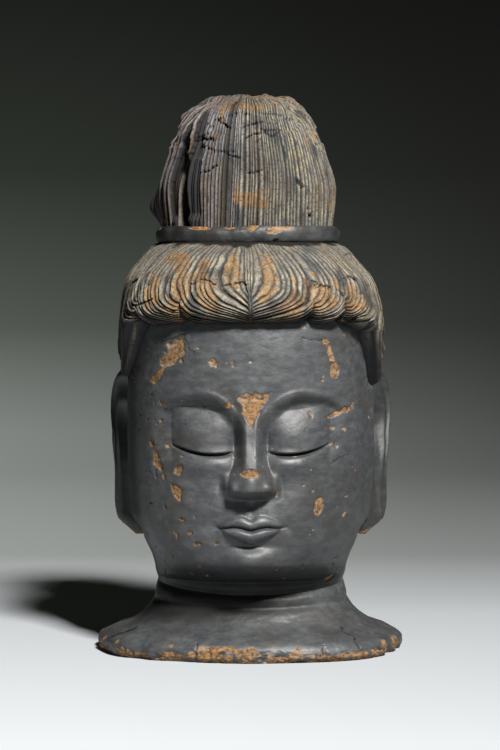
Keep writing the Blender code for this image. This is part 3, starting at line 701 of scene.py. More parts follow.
def make_neck_and_rim(form):
    """Neck below its upper fold, flaring out to a broken rim; the rim's edge is bitten, torn and uneven."""
    turn = turns_with((-180, -100, 80), (-100, 100, 320), (100, 180, 80))[None, :]
    angle = np.degrees(turn)
    top = neck_crease(form, angle)
    share = np.concatenate((np.linspace(0, 0.16, 34, endpoint=False), np.linspace(0.16, 1, 110)))[:, None]
    height = top * share
    turn_grid = turn + 0 * share
    radius = form.plain_radius(turn_grid, height) + neck_relief(form, angle, height)
    edge = place_round(turn, 0.1, 0.0)
    slow = 0.0016 * np.sin(3 * turn + 0.7) + 0.0012 * np.sin(7 * turn + 2.1)
    bites = sum(depth * bell(angle, at, width) for at, width, depth in RIM_BITES)
    torn = 0.0011 * rough(edge, 0.012, 31, 4)
    wave = slow - bites - np.clip(torn, 0.0, 0.003)
    low = ramp(0.75 * form.s.skirt_height, 0.15 * form.s.skirt_height, height)
    points = place_round(turn_grid, radius + wave * low, height)
    lip = ramp(0.95 * form.s.rim_edge, 0.45 * form.s.rim_edge, height + 0.0025 * rough(points, 0.010, 33))
    crumble = 0.0016 * rough(points, 0.0035, 41, 3) * lip
    swells = 0.00045 * rough(points * (0.5, 0.5, 1), 0.010, 43) + 0.00012 * rough(points, 0.004, 47)
    slit = cracks(points, RIM_CRACKS, 0.9, 51) * (1 - 0.3 * lip)
    radius = radius + wave * low + np.minimum(crumble, 0.0003) - 0.0007 * lip + swells - 0.0010 * slit
    points = place_round(turn_grid, radius, height)
    level = height + 0.0012 * rough(points, 0.016, 53) * ramp(0.0005, 0.008, height) * low
    points[..., 2] = np.maximum(level, 0.0)
    chips = ramp(0.35, 0.5, rough(points, 0.012, 67)) * ramp(0.016, 0.007, height)
    bare = np.maximum(lip * (0.25 + 0.75 * ramp(-0.35, 0.05, rough(points, 0.007, 57))), chips)
    flat = [place_round(turn, radius[0] * scale, 0.0)[0] for scale in (0.30, 0.60, 0.80, 0.90, 0.96)]
    closing = [place_round(turn, radius[-1] * scale, top)[0] for scale in (0.93, 0.5)]
    # Painted shadow of the chin on the front of the neck, reaching lower on the left, with a slight
    # darkening over the rest of the neck.
    shade_foot = height + 0.004 * noise(points, 0.02, 71) - 0.008 * ramp(-20, 40, angle)
    painted_chin_shadow = ramp(0.015, 0.031, shade_foot) * ramp(95, 40, np.abs(angle + 30))
    marks = {"bare": bare, "scratch": slit, "painted_shade": np.maximum(0.92 * painted_chin_shadow, 0.14)}
    return ring_surface("neck_and_rim", form, points, marks, flat, closing)


def make_hair(form):
    """Cap of combed hair: a rounded roll along the hairline, then strands up to the band.

    A strand is a half-round ridge, and each column of the mesh follows one. Near the forehead the
    strands sweep inwards and gather in lobes; at the temples they run down along the hairline.
    """
    s = form.s
    strand = np.degrees(turns_with((-180, -100, 160), (-100, 100, 560), (100, 180, 160)))
    rise = np.linspace(0, 1, 82)[1:, None]
    roll = np.linspace(0, np.pi / 2, 24)[:, None]
    up = np.concatenate((0 * roll, rise))
    round_lip = np.concatenate((1 - np.cos(roll), 1 + 0 * rise))
    angle = strand_columns(form, strand, round_lip[:, 0], up[:, 0])
    side = np.abs(angle)
    line = hairline_height(form, angle)
    lip = roll_height(side)
    stand = np.concatenate((np.sin(roll), 1 + 0 * rise)) + 0 * angle
    height = line + lip * round_lip + (form.band_foot + 0.001 - line - lip) * up
    turn = np.radians(angle)
    down = np.clip((form.band_foot - height) / s.fringe_rise, 0, 1)
    front = ramp(85, 60, side)
    thick = hair_thickness(form, side, height)
    plain = form.plain_radius(turn, height)
    place = place_round(turn, plain + thick, height)
    spacing = np.abs(np.gradient(angle, axis=1)) / np.abs(np.gradient(strand))
    full = 0.3 + 0.7 * ramp(0.08, 0.40, spacing)
    index = strand * form.counts.cap_strands / 360 + 1.2 * np.tanh(strand / 3) + 0.5
    index = index + 0.5 * strand_noise(strand, 2.2, 71) * ramp(1, 6, np.abs(strand))
    index = index + 0.26 * noise(place, 0.012, 73) + 0.12 * noise(place, 0.004, 74)
    each = random_at(np.floor(index), 79)
    body = ridges(index) ** 1.5
    locks = strand / 11.0 + 0.35 * strand_noise(strand, 3.5, 76) + 0.12 * noise(place, 0.02, 78)
    clump = ridges(locks) ** 0.8
    halves = ridges(2 * index) * (each > 0.6) * ramp(0.2, 0.6, noise(place, 0.03, 75))
    gathered = ramp(0.55, 0.20, spacing) * ramp(0.40, 0.80, down) * ramp(95, 80, side)
    gathered = gathered * ramp(3, 7, side)
    bold = 0.0008 + 0.0016 * ramp(0.10, 0.75, down) * front
    carve = bold * (body - 1 + 0.35 * (halves - 1) * (halves > 0)) * (0.3 + 0.7 * full)
    carve = carve + 0.0014 * (each - 1) * (0.4 + 0.6 * down) * full - 0.0030 * gathered
    carve = carve + 0.0020 * (clump - 1) * full * ramp(0.05, 0.4, down)
    closed = bell(angle, 0, 0.9) * ramp(0.55, 0.90, down)
    carve = carve * (1 - 0.7 * closed)
    split = cracks(place, HAIR_CRACKS, 1.0, 83)
    random_crack = ramp(0.022, 0.0, np.abs(noise(place * (1, 1, 3), 0.022, 87)))
    random_crack = random_crack * ramp(0.45, 0.7, noise(place, 0.03, 89))
    split = np.maximum(split, 0.6 * random_crack)
    seam = form.band_foot - height + 0.0016 * rough(place, 0.009, 90)
    split = np.maximum(split, ramp(0.0024, 0.0010, seam))
    ochre = patches(place, HAIR_OCHRE, 91, 0.008, 0.5, 0.9 * (each - 0.5))
    ochre = np.maximum(ochre, ramp(0.62, 0.80, rough(place, 0.018, 93) + 0.5 * (each - 0.5)))
    worn = 0.0004 * ochre * body + 0.0003 * rough(place, 0.004, 97)
    relief = thick * stand + (carve * (1.5 - 0.5 * stand) - HAIR_CRACK_DEPTH * split - worn) * stand**0.3
    hole = patches(place, HAIR_HOLES, 99)
    radius = plain + relief - 0.004 * hole - 0.0025 * (1 - stand)
    points = place_round(turn, radius, height)
    points[..., 0] += s.topknot_shift * ramp(form.hairline, form.band_top, height)
    rings = ((0.020, 0.006), (0.006, 0.001))
    inner = [place_round(turn[0], plain[0] - inset, line[0] + raised) for inset, raised in rings]
    over = [place_round(turn[-1], reach, height[-1] + 0.002) for reach in (radius[-1] - 0.012, 0.02)]
    fade = ramp(-0.75, -0.2, noise(place * (1, 1, 0.35), 0.008, 94))
    # The ridge mark is lowered on the underside of the roll, at gathered strands and in the gaps between
    # locks, so the dark groove colour there is painted shade.
    ridge = (body * full + 0.7 * (1 - full)) * (1 - 0.75 * gathered) * (0.15 + 0.85 * stand)
    ridge = ridge * (0.25 + 0.75 * ramp(0.15, 0.65, clump)) * (0.55 + 0.45 * fade)
    ridge = ridge + (0.60 - ridge) * 0.8 * closed
    pale = ramp(0.50, 0.08, down + 0.25 * noise(place, 0.02, 96)) * front
    ridge = ridge + (0.62 - ridge) * 0.55 * pale
    # Painted shade: the hair darkened at the temples below the hairline, more on the left, and over the
    # lower left of the cap, where shade falls. Random patches away from the ochre are dark strands without
    # dust.
    below = ramp(form.hairline + 0.006, form.hairline - 0.010, height)
    clean_and_painted_shade = below * ramp(55, 75, side) * (0.60 + 0.35 * (angle < 0))
    clean_and_painted_shade = np.maximum(clean_and_painted_shade, 0.95 * ramp(-50, -76, angle) * ramp(0.35, 0.85, down))
    patchy = ramp(0.05, 0.55, noise(place * (1, 1, 0.6), 0.014, 98)) * ramp(0.25, 0.60, down)
    clean_and_painted_shade = np.maximum(clean_and_painted_shade, 0.70 * patchy * (1 - ochre))
    marks = {"ridge": ridge, "ochre": ochre, "scratch": np.maximum(split, hole), "clean_and_painted_shade": clean_and_painted_shade}
    marks |= {"strand": each, "across": index, "along": height}
    return ring_surface("combed_hair", form, points, marks, inner, over, "edge")


def make_topknot(form):
    """Topknot of upright strands: a front sheaf, a deep parting on its left, and a ragged broken top."""
    s = form.s
    turn = turns_with((-180, -100, 110), (-100, 100, 420), (100, 180, 110))[None, :]
    angle = np.degrees(turn)
    side = np.abs(angle)
    low_knot, high_knot = np.interp([form.band_top - 0.004, form.top], form.heights, form.climbs)
    climb = low_knot + (high_knot - low_knot) * np.linspace(0, 0.985, 146)[:, None]
    height = np.interp(climb, form.climbs, form.heights) + 0 * turn
    turn_grid = turn + 0 * height
    rise = np.clip((height - form.band_top) / s.topknot_height, 0, 1)
    plain = form.plain_radius(turn_grid, height)
    at = place_round(turn_grid, plain, height)
    lean = angle + (7 * rise - 3) * np.sin(np.radians(angle)) + 2.0 * noise(at, 0.05, 101)
    index = lean * form.counts.topknot_strands / 360 + 0.5 * strand_noise(lean, 2.2, 105)
    index = index + 0.15 * noise(at * (1, 1, 0.3), 0.012, 103)
    each = random_at(np.floor(index), 107)
    body = ridges(index) ** 1.8
    clump = ridges(lean / 15.0 + 0.40 * strand_noise(lean, 4.0, 111) + 0.2) ** 0.6
    beyond = -49 - 5 * rise - angle
    low_enough = ramp(0.92, 0.78, rise)
    deep, reach = s.parting_depth, s.coil_reach
    parting = ramp(-0.8, 0.6, beyond) * ramp(17, 8, beyond) * low_enough
    side_sheaf = ramp(0, 4, beyond) * ramp(100, 75, side) * low_enough
    shaded = ramp(-15, -9, beyond) * ramp(125, 105, side) * low_enough
    sunk = 0.0028 * shaded * (1 - side_sheaf) * ramp(0.52, 0.44, each) * ramp(0.03, 0.10, rise)
    fallen = ramp(0.64, 0.56, each) * side_sheaf * ramp(0.03, 0.10, rise)
    recess = deep * (parting + 0.28 * side_sheaf + 0.30 * fallen) + sunk
    back_parts = 0.32 * deep * (bell(angle, 118, 6) + bell(angle, -125, 6) + bell(side, 180, 9))
    coil = reach * bell(angle, -112, 15) * bell(rise, 0.14, 0.115)
    lifted = 0.25 * reach * bell(angle, 30, 14) * bell(rise, 0.93, 0.08)
    broken = 0.33 * reach * (bell(angle, 62, 12) + bell(angle, -66, 14)) * bell(rise, 0.88, 0.10)
    stump = 0.42 * reach * bell(angle, -60, 7) * bell(rise, 0.68, 0.12)
    stump = stump * (1 + 0.8 * rough(at, 0.006, 109))
    worn_top = np.maximum(ramp(0.80, 0.95, rise), ramp(-42, -60, angle) * ramp(0.35, 0.75, rise))
    ragged = worn_top * (0.0035 * rough(at, 0.014, 113) + 0.0022 * (each - 0.6))
    broken_off = ramp(0.02, 0.10, rough(at * (1, 1, 1.6), 0.020, 127))
    terraces = 0.0016 * broken_off * ramp(0.40, 0.60, rise)
    split = cracks(at, TOPKNOT_CRACKS, 0.8, 131)
    gap = cracks(at, TOPKNOT_GAPS, 1.6, 137)
    pits = patches(at, TOPKNOT_PITS, 139)
    damage = np.maximum(np.maximum(split, gap), pits)
    calm = ramp(0.995, 0.95, rise)
    strength = 0.0020 * (0.7 + 0.6 * each) * calm
    carve = strength * (body - 1) + 0.0012 * (each - 1) * calm + 0.0018 * (clump - 1) * calm
    radius = plain + carve - recess - back_parts + coil + lifted - broken + stump
    radius = radius + ragged * calm - terraces - TOPKNOT_CRACK_DEPTH * damage
    radius = np.maximum(radius, 0.0)
    points = place_round(turn_grid, radius, height)
    crown = ramp(0.80, 1.0, rise)
    points[..., 2] += crown * (0.0042 * rough(at, 0.013, 149) - 0.0038)
    points[..., 0] += s.topknot_shift
    inner = [place_round(turn, ring, height[0, 0])[0] for ring in (0.02, radius[0] - 0.010)]
    ochre = ramp(0.62, 0.80, rough(at, 0.018, 151))
    ochre = ochre + 0.5 * ramp(0.80, 0.95, rise) * (noise(at, 0.01, 157) > 0.1)
    ochre = np.clip(ochre + 0.9 * bell(angle, -60, 6) * bell(rise, 0.66, 0.08), 0, 1)
    fade = ramp(-0.75, -0.2, noise(at * (1, 1, 0.25), 0.007, 161))
    # The ridge mark is lowered in the deep parting, on fallen strands and between locks, so the dark groove
    # colour there is painted shade.
    ridge = body * (1 - 0.85 * parting) * (0.35 + 0.65 * ramp(0.2, 0.7, clump))
    ridge = ridge * (0.5 + 0.5 * fade) * (1 - 0.5 * fallen)
    # Painted shade: strands darker towards the left, on the coil low at the back left, and most in the
    # shaded band beside the parting, where some strands are left light; the noise adds strands without dust
    # at random.
    cleaned = 0.20 + 0.16 * ramp(0, -50, angle) + 0.32 * noise(at, 0.025, 159)
    lump = bell(angle, -112, 18) * bell(rise, 0.14, 0.14)
    # A darker violet-grey dust over the left half, the side in shade: dust tint with painted shade.
    violet_dust_and_shade = ramp(22, -30, angle + 14 * noise(at, 0.03, 158)) * (0.75 + 0.25 * each)
    streaks = shaded * (each > 0.46) * ramp(0.40, 0.70, body)
    clean_and_painted_shade = np.clip(cleaned + shaded + 0.8 * lump - 1.1 * streaks, 0, 1)
    marks = {"ridge": ridge, "ochre": ochre, "scratch": damage, "clean_and_painted_shade": clean_and_painted_shade, "violet_dust_and_shade": violet_dust_and_shade}
    marks |= {"strand": each, "across": index, "along": height}
    return ring_surface("topknot", form, points, marks, inner, (), "edge")


def make_band(form):
    """Round band under the topknot: half of an oval section turned round the head's own outline."""
    s = form.s
    turn = turns_with((-180, 180, 420))[None, :]
    lean = np.linspace(-0.5 * np.pi, 0.5 * np.pi, 30)[:, None]
    middle = 0.5 * (form.band_foot + form.band_top)
    height = middle + 0.5 * s.band_height * np.sin(lean) + 0 * turn
    turn_grid = turn + 0 * lean
    at = place_round(turn_grid, 0.065, height)
    plain = form.plain_radius(turn_grid, middle + 0 * height)
    bare = patches(at, BAND_LOSSES, 161, 0.005, 0.4)
    chips = ramp(0.3, 0.5, rough(at, 0.012, 163)) * ramp(0.5, 0.9, np.abs(np.sin(lean)))
    bare = np.maximum(bare, chips)
    dent = ramp(0.10, 0.45, noise(at, 0.016, 171)) * ramp(0.2, 0.9, np.sin(lean))
    swells = 0.0007 * rough(at, 0.02, 167) - 0.0010 * dent + 0.00015 * rough(at, 0.005, 169)
    radius = plain + s.band_swell * np.cos(lean) ** 0.8 + 0.0010 + swells - FLAKE_DEPTH * bare
    height = height + 0.0009 * noise(at, 0.03, 173) - 0.0010 * chips * np.sign(lean)
    points = place_round(turn_grid, radius, height)
    points[..., 0] += s.topknot_shift
    inner = place_round(turn, plain[0] - 0.015, height[0])
    outer = place_round(turn, plain[-1] - 0.015, height[-1])
    # Painted shade: the band's lacquer darker towards the left, varying at random, with less sheen.
    worn = 0.45 + 0.35 * ramp(10, -50, np.degrees(turn)) + 0.30 * noise(at, 0.012, 177)
    marks = {"bare": bare, "scratch": 0.0, "painted_shade": worn}
    return ring_surface("topknot_band", form, points, marks, inner, outer)


def make_ear(form, side):
    """One ear: a long curled plate from its outline in to its middle, with a grooved, broken lobe."""
    s = form.s
    turn = np.linspace(-np.pi, np.pi, 150, endpoint=False)[None, :]
    rise = np.linspace(-0.995, 0.995, 128)[:, None]
    bottom = s.chin_height + 0.46 * s.face_third
    inward = np.sin(0.5 * np.pi * np.clip(1 - np.abs(rise), 0, 1)) + 0 * turn
    up = np.where(turn < 0, -np.abs(np.sin(turn)) ** 0.6, np.sin(turn))
    level = 0.5 + 0.5 * up * inward
    wide = s.ear_width * curve_through((0, 0.25, 0.55, 0.80, 1.0), (0.64, 0.66, 0.80, 1.0, 0.96), level)
    blunt = np.where(up < 0, 0.25, 0.55)
    across = np.sign(np.cos(turn)) * np.abs(np.cos(turn)) ** blunt * inward
    along = 0.5 * wide * (1 + across)
    slant = 0.42 * (along - 0.38 * s.ear_width) * (1 - level) ** 3
    z = bottom + s.ear_length * level + slant
    bowl = mound(across, level, -0.10, 0.60, 0.42, 0.12)
    channel = 0.45 * mound(across, level, 0.10, 0.16, 0.22, 0.20)
    helix = 0.46 * bell(inward, 0.90, 0.08) * (0.30 + 0.70 * ramp(0.30, 0.55, level))
    inner_fold = 0.34 * bell(inward, 0.56, 0.11) * ramp(0.25, 0.50, level)
    flap = 0.50 * mound(across, level, -0.72, 0.55, 0.16, 0.05)
    lift = s.ear_thickness * (0.55 + helix + inner_fold + flap - bowl - channel)
    edge = np.sqrt(np.clip(1 - inward**8, 0, 1))
    behind = -s.ear_thickness * (0.45 + bowl + 0.8 * channel)
    outward = np.where(rise >= 0, lift, behind) * edge
    level_lobe = ramp(0.30, 0.05, level)
    grooves = 0.0007 * (ridges(along / 0.0045) - 1) * level_lobe * edge * (rise >= 0)
    flare = np.radians(45 - 16 * ramp(0, 0.8, level))
    x = 0.895 * s.face_half_width + along * np.sin(flare) + (outward + grooves) * np.cos(flare)
    y = -0.07 * s.face_half_width + along * np.cos(flare) - (outward + grooves) * np.sin(flare)
    points = np.stack((x, y, z), axis=-1)
    torn = ramp(0.08, 0.0, level)
    points[..., 2] += 0.0015 * rough(points, 0.006, 181) * torn
    points += 0.0003 * rough(points, 0.008, 183)[..., None]
    bare = torn * ramp(-0.3, 0.4, noise(points, 0.004, 187))
    points[..., 0] *= side
    name = "ear_right_side" if side > 0 else "ear_left_side"
    # Painted shade over both ears, which also lowers their sheen.
    marks = {"bare": bare, "scratch": 0.0, "painted_shade": 0.55}
    return ring_surface(name, form, points, marks, outwards=side > 0)


def linear(code):
    """Linear colour with alpha from an sRGB hex value."""
    parts = [int(code[i : i + 2], 16) / 255 for i in (1, 3, 5)]
    return (*(p / 12.92 if p <= 0.04045 else ((p + 0.055) / 1.055) ** 2.4 for p in parts), 1.0)


class Nodes:
    """A new material and its node tree, with short ways to add the kinds of node that the looks need."""

    def __init__(self, name):
        self.material = bpy.data.materials.new(name)
        self.material.use_nodes = True
        self.tree = self.material.node_tree
        self.place = self.add("ShaderNodeTexCoord").outputs["Object"]

    def fill(self, node, inputs):
        """Fills or links a node's inputs by name or number."""
        for socket, value in inputs.items():
            if isinstance(value, bpy.types.NodeSocket):
                self.tree.links.new(value, node.inputs[socket])
            else:
                node.inputs[socket].default_value = value

    def add(self, kind, inputs=None, **settings):
        """Adds a node, sets its properties, and fills its inputs."""
        node = self.tree.nodes.new(kind)
        for name, value in settings.items():
            setattr(node, name, value)
        self.fill(node, inputs or {})
        return node

    def shade(self, inputs):
        """Gives the shader its inputs, and gives back the finished material."""
        self.fill(self.tree.nodes["Principled BSDF"], inputs)
        return self.material

    def noise(self, place, scale, detail, roughness=0.5):
        """Soft random pattern."""
        inputs = {"Vector": place, "Scale": scale, "Detail": detail, "Roughness": roughness}
        return self.add("ShaderNodeTexNoise", inputs).outputs[0]

    def spread(self, value, low, high, to_low=0.0, to_high=1.0):
        """A value moved from one range to another and held inside it."""
        return self.add("ShaderNodeMapRange", {0: value, 1: low, 2: high, 3: to_low, 4: to_high}).outputs[0]

    def mark(self, name):
        """A value that the mesh carries at its points."""
        return self.add("ShaderNodeAttribute", attribute_name=name).outputs["Fac"]

    def math(self, operation, *values):
        """The result of one step of arithmetic."""
        return self.add("ShaderNodeMath", dict(enumerate(values)), operation=operation).outputs[0]

    def mix(self, share, first, second):
        """Colour from first to second as share goes from 0 to 1; either may be a hex value."""
        first, second = (linear(tint) if isinstance(tint, str) else tint for tint in (first, second))
        return self.add("ShaderNodeMix", {0: share, 6: first, 7: second}, data_type="RGBA").outputs[2]

    def bump(self, strength, height):
        """Fine unevenness of the surface."""
        inputs = {"Strength": strength, "Distance": BUMP_DEPTH, "Height": height}
        return self.add("ShaderNodeBump", inputs).outputs[0]


def lacquer_material(name, colours):
    """Aged black lacquer on cloth: satin, dusty and rubbed, with an ochre ground where it has flaked.

    The lacquer gives broad soft highlights, the dust greys them, and the bare ground stays matt. Where the
    mark of painted shade is set, the colour turns to a dark painted shade and the sheen drops.
    """
    n = Nodes(name)
    cloud = n.noise(n.place, 24.0, 7.0, 0.62)
    speck = n.noise(n.place, 420.0, 4.0, 0.7)
    brushed = n.add("ShaderNodeMapping", {"Vector": n.place, "Scale": (1.0, 1.0, 2.2)}).outputs[0]
    streak = n.noise(brushed, 85.0, 8.0, 0.74)
    painted_shade = n.mark("painted_shade")
    skin = n.mix(n.spread(streak, 0.42, 0.74, 0.0, 0.42), colours.lacquer, colours.dust)
    skin = n.mix(n.spread(cloud, 0.50, 0.66, 0.0, 0.7), skin, colours.lacquer_worn)
    skin = n.mix(n.spread(speck, 0.66, 0.74, 0.0, 0.35), skin, colours.dust)
    line = n.spread(n.math("ABSOLUTE", n.math("SUBTRACT", cloud, 0.5)), 0.0015, 0.0050, 0.45, 0.0)
    skin = n.mix(n.math("MULTIPLY", line, n.spread(streak, 0.50, 0.58)), skin, colours.groove)
    # Painted shade: the colour turns dark where its mark is set.
    skin = n.mix(painted_shade, skin, colours.lacquer_painted_shade)
    ground = n.mix(n.spread(speck, 0.40, 0.58), colours.ground_dark, colours.ground)
    ground = n.mix(n.spread(streak, 0.50, 0.62, 0.0, 0.8), ground, colours.ground_pale)
    flaked = n.spread(n.mark("bare"), 0.35, 0.65)
    whole = n.mix(n.mark("scratch"), n.mix(flaked, skin, ground), colours.groove)
    gloss = n.spread(cloud, 0.3, 0.7, 0.43, 0.58)
    return n.shade(
        {
            "Base Color": whole,
            "Roughness": n.add("ShaderNodeMix", {0: flaked, 2: gloss, 3: 0.9}).outputs[0],
            # Less sheen where painted shade is set.
            "Specular IOR Level": n.spread(painted_shade, 0.3, 0.9, 0.50, 0.16),
            "IOR": 1.5,
            "Normal": n.bump(0.30, n.math("ADD", speck, streak)),
        }
    )


def hair_material(name, colours):
    """Dry lacquer paste modelled as hair.

    It is matt, dusty on the crests of the strands, black in the grooves, and ochre where it is worn.
    The groove colour on the roll's underside, in the partings and between locks, the dark strand colour on
    the shaded side, and the darker violet dust on the topknot's left are painted shade.
    """
    n = Nodes(name)
    cloud = n.noise(n.place, 30.0, 5.0)
    speck = n.noise(n.place, 520.0, 4.0, 0.7)
    crest = n.mark("ridge")
    far = n.math("MULTIPLY", n.mark("along"), 90.0)
    lain = n.add("ShaderNodeCombineXYZ", {0: n.mark("across"), 1: far}).outputs[0]
    streak = n.noise(lain, 0.9, 6.0, 0.75)
    fibre = n.noise(lain, 3.2, 4.0, 0.7)
    mood = n.math("MULTIPLY_ADD", n.mark("strand"), 0.22, cloud)
    ridge = n.mix(n.spread(mood, 0.54, 0.70), colours.strand_blue, colours.strand)
    dust = n.mix(n.spread(mood, 0.50, 0.64), colours.strand_tan, colours.strand_grey)
    dust = n.mix(n.mark("violet_dust_and_shade"), dust, colours.strand_violet)
    dusty = n.math("MULTIPLY", n.spread(crest, 0.50, 0.97), n.spread(streak, 0.38, 0.60))
    ridge = n.mix(dusty, ridge, dust)
    ochre = n.math("MULTIPLY", n.mark("ochre"), n.spread(fibre, 0.40, 0.58, 0.10, 0.95))
    ridge = n.mix(ochre, ridge, colours.ground)
    ridge = n.mix(n.spread(speck, 0.36, 0.50, 0.65, 0.0), ridge, colours.groove)
    # Dark strands without dust, and painted shade on the shaded side.
    ridge = n.mix(n.mark("clean_and_painted_shade"), ridge, colours.strand_clean_and_painted_shade)
    whole = n.mix(n.spread(crest, 0.05, 0.60), colours.groove, ridge)
    whole = n.mix(n.mark("scratch"), whole, colours.groove)
    normal = n.bump(0.6, speck)
    return n.shade({"Base Color": whole, "Roughness": 0.72, "Specular IOR Level": 0.22, "Normal": normal})


def paper_material():
    """Matt paper with painted light and shade: pale under the head, darker far in front of it, and dark at
    the back as painted falloff of the light; brighter on the left as painted light.
    """
    n = Nodes("matt paper with painted falloff")
    parts = n.add("ShaderNodeSeparateXYZ", {0: n.place}).outputs
    near, far = -1.0, 4.0
    graded = n.add("ShaderNodeValToRGB", {0: n.spread(parts["Y"], near, far)})
    spots = [(place - near) / (far - near) for place, _ in PAPER_PAINTED_TONES]
    for spot in spots[1:-1]:
        graded.color_ramp.elements.new(spot)
    for element, spot, (_, tone) in zip(graded.color_ramp.elements, spots, PAPER_PAINTED_TONES):
        element.position = spot
        # The tint follows the painted tone: greenish where the paper is painted dark, bluish where it is
        # painted bright.
        lit, bright = ramp(0.0, 0.05, tone), ramp(0.08, 0.37, tone)
        red, blue = 0.74 + 0.18 * lit + 0.03 * bright, 0.70 + 0.27 * lit + 0.08 * bright
        element.color = (red * tone, tone, blue * tone, 1)
    # Painted light: the paper is brighter on the left behind the head, up to nearly four times, and across
    # the floor a little brighter on the left and darker on the right.
    left = n.math("MULTIPLY", n.spread(parts["X"], -0.4, 0.4, 1.0, 0.0), n.spread(parts["Y"], 0.3, 2.4))
    tilt = n.spread(parts["X"], -0.2, 0.2, 1.06, 0.88)
    painted_light_gain = n.math("MULTIPLY", n.spread(left, 0.0, 1.0, 1.0, 3.7), tilt)
    tone = n.add("ShaderNodeVectorMath", {0: graded.outputs["Color"], 3: painted_light_gain}, operation="SCALE").outputs[0]
    sheen = n.spread(parts["Y"], 2.95, 3.40, 0.50, 0.33)
    return n.shade({"Base Color": tone, "Specular IOR Level": sheen, "Roughness": 0.95})


def area_light(name, place, aim, size, power, tint):
    """A soft square light that faces a point."""
    lamp = bpy.data.lights.new(name, "AREA")
    lamp.size = size
    lamp.energy = power
    lamp.color = linear(tint)[:3]
    holder = bpy.data.objects.new(name, lamp)
    holder.location = place
    holder.rotation_mode = "QUATERNION"
    holder.rotation_quaternion = (Vector(place) - Vector(aim)).to_track_quat("Z", "Y")
    bpy.context.scene.collection.objects.link(holder)


def make_paper():
    """Paper sweep: a level floor that curves up behind the head to a backdrop."""
    bend = np.radians(np.linspace(0, 85, 30))
    curve = np.stack((PAPER_BEND + PAPER_RADIUS * np.sin(bend), PAPER_RADIUS * (1 - np.cos(bend))), axis=1)
    profile = np.concatenate(([(PAPER_FRONT, 0.0)], curve, [PAPER_TOP]))
    points = [(x, y, z) for y, z in profile for x in (-PAPER_HALF_WIDTH, PAPER_HALF_WIDTH)]
    faces = [(2 * i, 2 * i + 1, 2 * i + 3, 2 * i + 2) for i in range(len(profile) - 1)]
    mesh = bpy.data.meshes.new("floor")
    mesh.from_pydata(points, [], faces)
    mesh.shade_smooth()
    mesh.materials.append(paper_material())
    return mesh


def set_room_and_camera(scene):
    """Dim surroundings, and a camera at the photograph's angle."""
    world = bpy.data.worlds.new("studio")
    world.use_nodes = True
    world.node_tree.nodes["Background"].inputs["Color"].default_value = linear(ROOM_COLOUR)
    world.node_tree.nodes["Background"].inputs["Strength"].default_value = ROOM_STRENGTH
    scene.world = world
    scene.view_settings.view_transform = "Standard"
    lens = bpy.data.cameras.new("camera")
    lens.sensor_width = SENSOR
    lens.lens = LENS
    camera = bpy.data.objects.new("camera", lens)
    camera.location = CAMERA_PLACE
    camera.rotation_euler = (math.radians(90 - CAMERA_DIP), 0.0, 0.0)
    scene.collection.objects.link(camera)
    scene.camera = camera


def form_from(context):
    """The main shape from the panel's sizes."""
    return Form(context.scene.head_sizes, context.scene.head_counts)


def finish_pieces(context, finish, *pieces):
    """Gives pieces the material of this name, made once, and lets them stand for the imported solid."""
    material = bpy.data.materials.get(finish) or MATERIALS[finish](finish, context.scene.head_colours)
    for piece in pieces:
        piece.data.materials.append(material)
        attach(piece, "root")
        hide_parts(NODE)
    return {"FINISHED"}


class HEAD_OT_face(bpy.types.Operator):
    """Adds the lacquered face"""

    bl_idname = "head.face"
    bl_label = "Face"

    def execute(self, context):
        return finish_pieces(context, LACQUER, make_face(form_from(context)))


class HEAD_OT_neck(bpy.types.Operator):
    """Adds the neck and its broken rim"""

    bl_idname = "head.neck"
    bl_label = "Neck and rim"

    def execute(self, context):
        return finish_pieces(context, LACQUER, make_neck_and_rim(form_from(context)))


class HEAD_OT_hair(bpy.types.Operator):
    """Adds the combed cap of hair"""

    bl_idname = "head.hair"
    bl_label = "Combed hair"

    def execute(self, context):
        return finish_pieces(context, HAIR, make_hair(form_from(context)))


class HEAD_OT_topknot(bpy.types.Operator):
    """Adds the bound topknot"""

    bl_idname = "head.topknot"
    bl_label = "Topknot"

    def execute(self, context):
        return finish_pieces(context, HAIR, make_topknot(form_from(context)))


class HEAD_OT_band(bpy.types.Operator):
    """Adds the band that binds the topknot"""

    bl_idname = "head.band"
    bl_label = "Topknot band"

    def execute(self, context):
        return finish_pieces(context, LACQUER, make_band(form_from(context)))


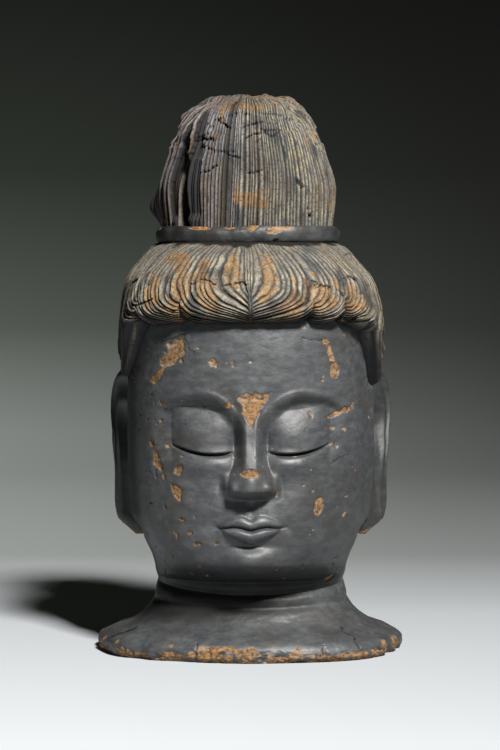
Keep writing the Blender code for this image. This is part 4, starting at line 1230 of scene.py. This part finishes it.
class HEAD_OT_ears(bpy.types.Operator):
    """Adds both ears"""

    bl_idname = "head.ears"
    bl_label = "Ears"

    def execute(self, context):
        form = form_from(context)
        return finish_pieces(context, LACQUER, make_ear(form, 1), make_ear(form, -1))


class HEAD_OT_stage(bpy.types.Operator):
    """Adds the pale floor, the lights and the camera"""

    bl_idname = "head.stage"
    bl_label = "Stage"

    def execute(self, context):
        floor = bpy.data.objects.new("floor", make_paper())
        context.scene.collection.objects.link(floor)
        for light in LIGHTS:
            area_light(*light)
        set_room_and_camera(context.scene)
        return {"FINISHED"}


class HEAD_PT_panel(bpy.types.Panel):
    """Sizes, colours and pieces of the head"""

    bl_idname = "HEAD_PT_panel"
    bl_label = "Lacquered head"
    bl_space_type = "VIEW_3D"
    bl_region_type = "UI"
    bl_category = "Head"

    def draw(self, context):
        scene = context.scene
        for group in (scene.head_sizes, scene.head_counts, scene.head_colours):
            for name in group.bl_rna.properties.keys():
                if name not in ("rna_type", "name"):
                    self.layout.prop(group, name)
        for operator in OPERATORS:
            self.layout.operator(operator.bl_idname)


MATERIALS = {LACQUER: lacquer_material, HAIR: hair_material}
PIECES = (HEAD_OT_face, HEAD_OT_neck, HEAD_OT_hair, HEAD_OT_topknot, HEAD_OT_band, HEAD_OT_ears)
OPERATORS = (*PIECES, HEAD_OT_stage)
CLASSES = (HeadSizes, HeadCounts, HeadColours, *OPERATORS, HEAD_PT_panel)


def register():
    for cls in CLASSES:
        bpy.utils.register_class(cls)
    bpy.types.Scene.head_sizes = bpy.props.PointerProperty(type=HeadSizes)
    bpy.types.Scene.head_counts = bpy.props.PointerProperty(type=HeadCounts)
    bpy.types.Scene.head_colours = bpy.props.PointerProperty(type=HeadColours)


def unregister():
    del bpy.types.Scene.head_colours
    del bpy.types.Scene.head_counts
    del bpy.types.Scene.head_sizes
    for cls in reversed(CLASSES):
        bpy.utils.unregister_class(cls)


def main():
    register()
    bpy.ops.head.stage()
    bpy.ops.head.face()
    bpy.ops.head.neck()
    bpy.ops.head.hair()
    bpy.ops.head.topknot()
    bpy.ops.head.band()
    bpy.ops.head.ears()


if __name__ == "__main__":
    main()
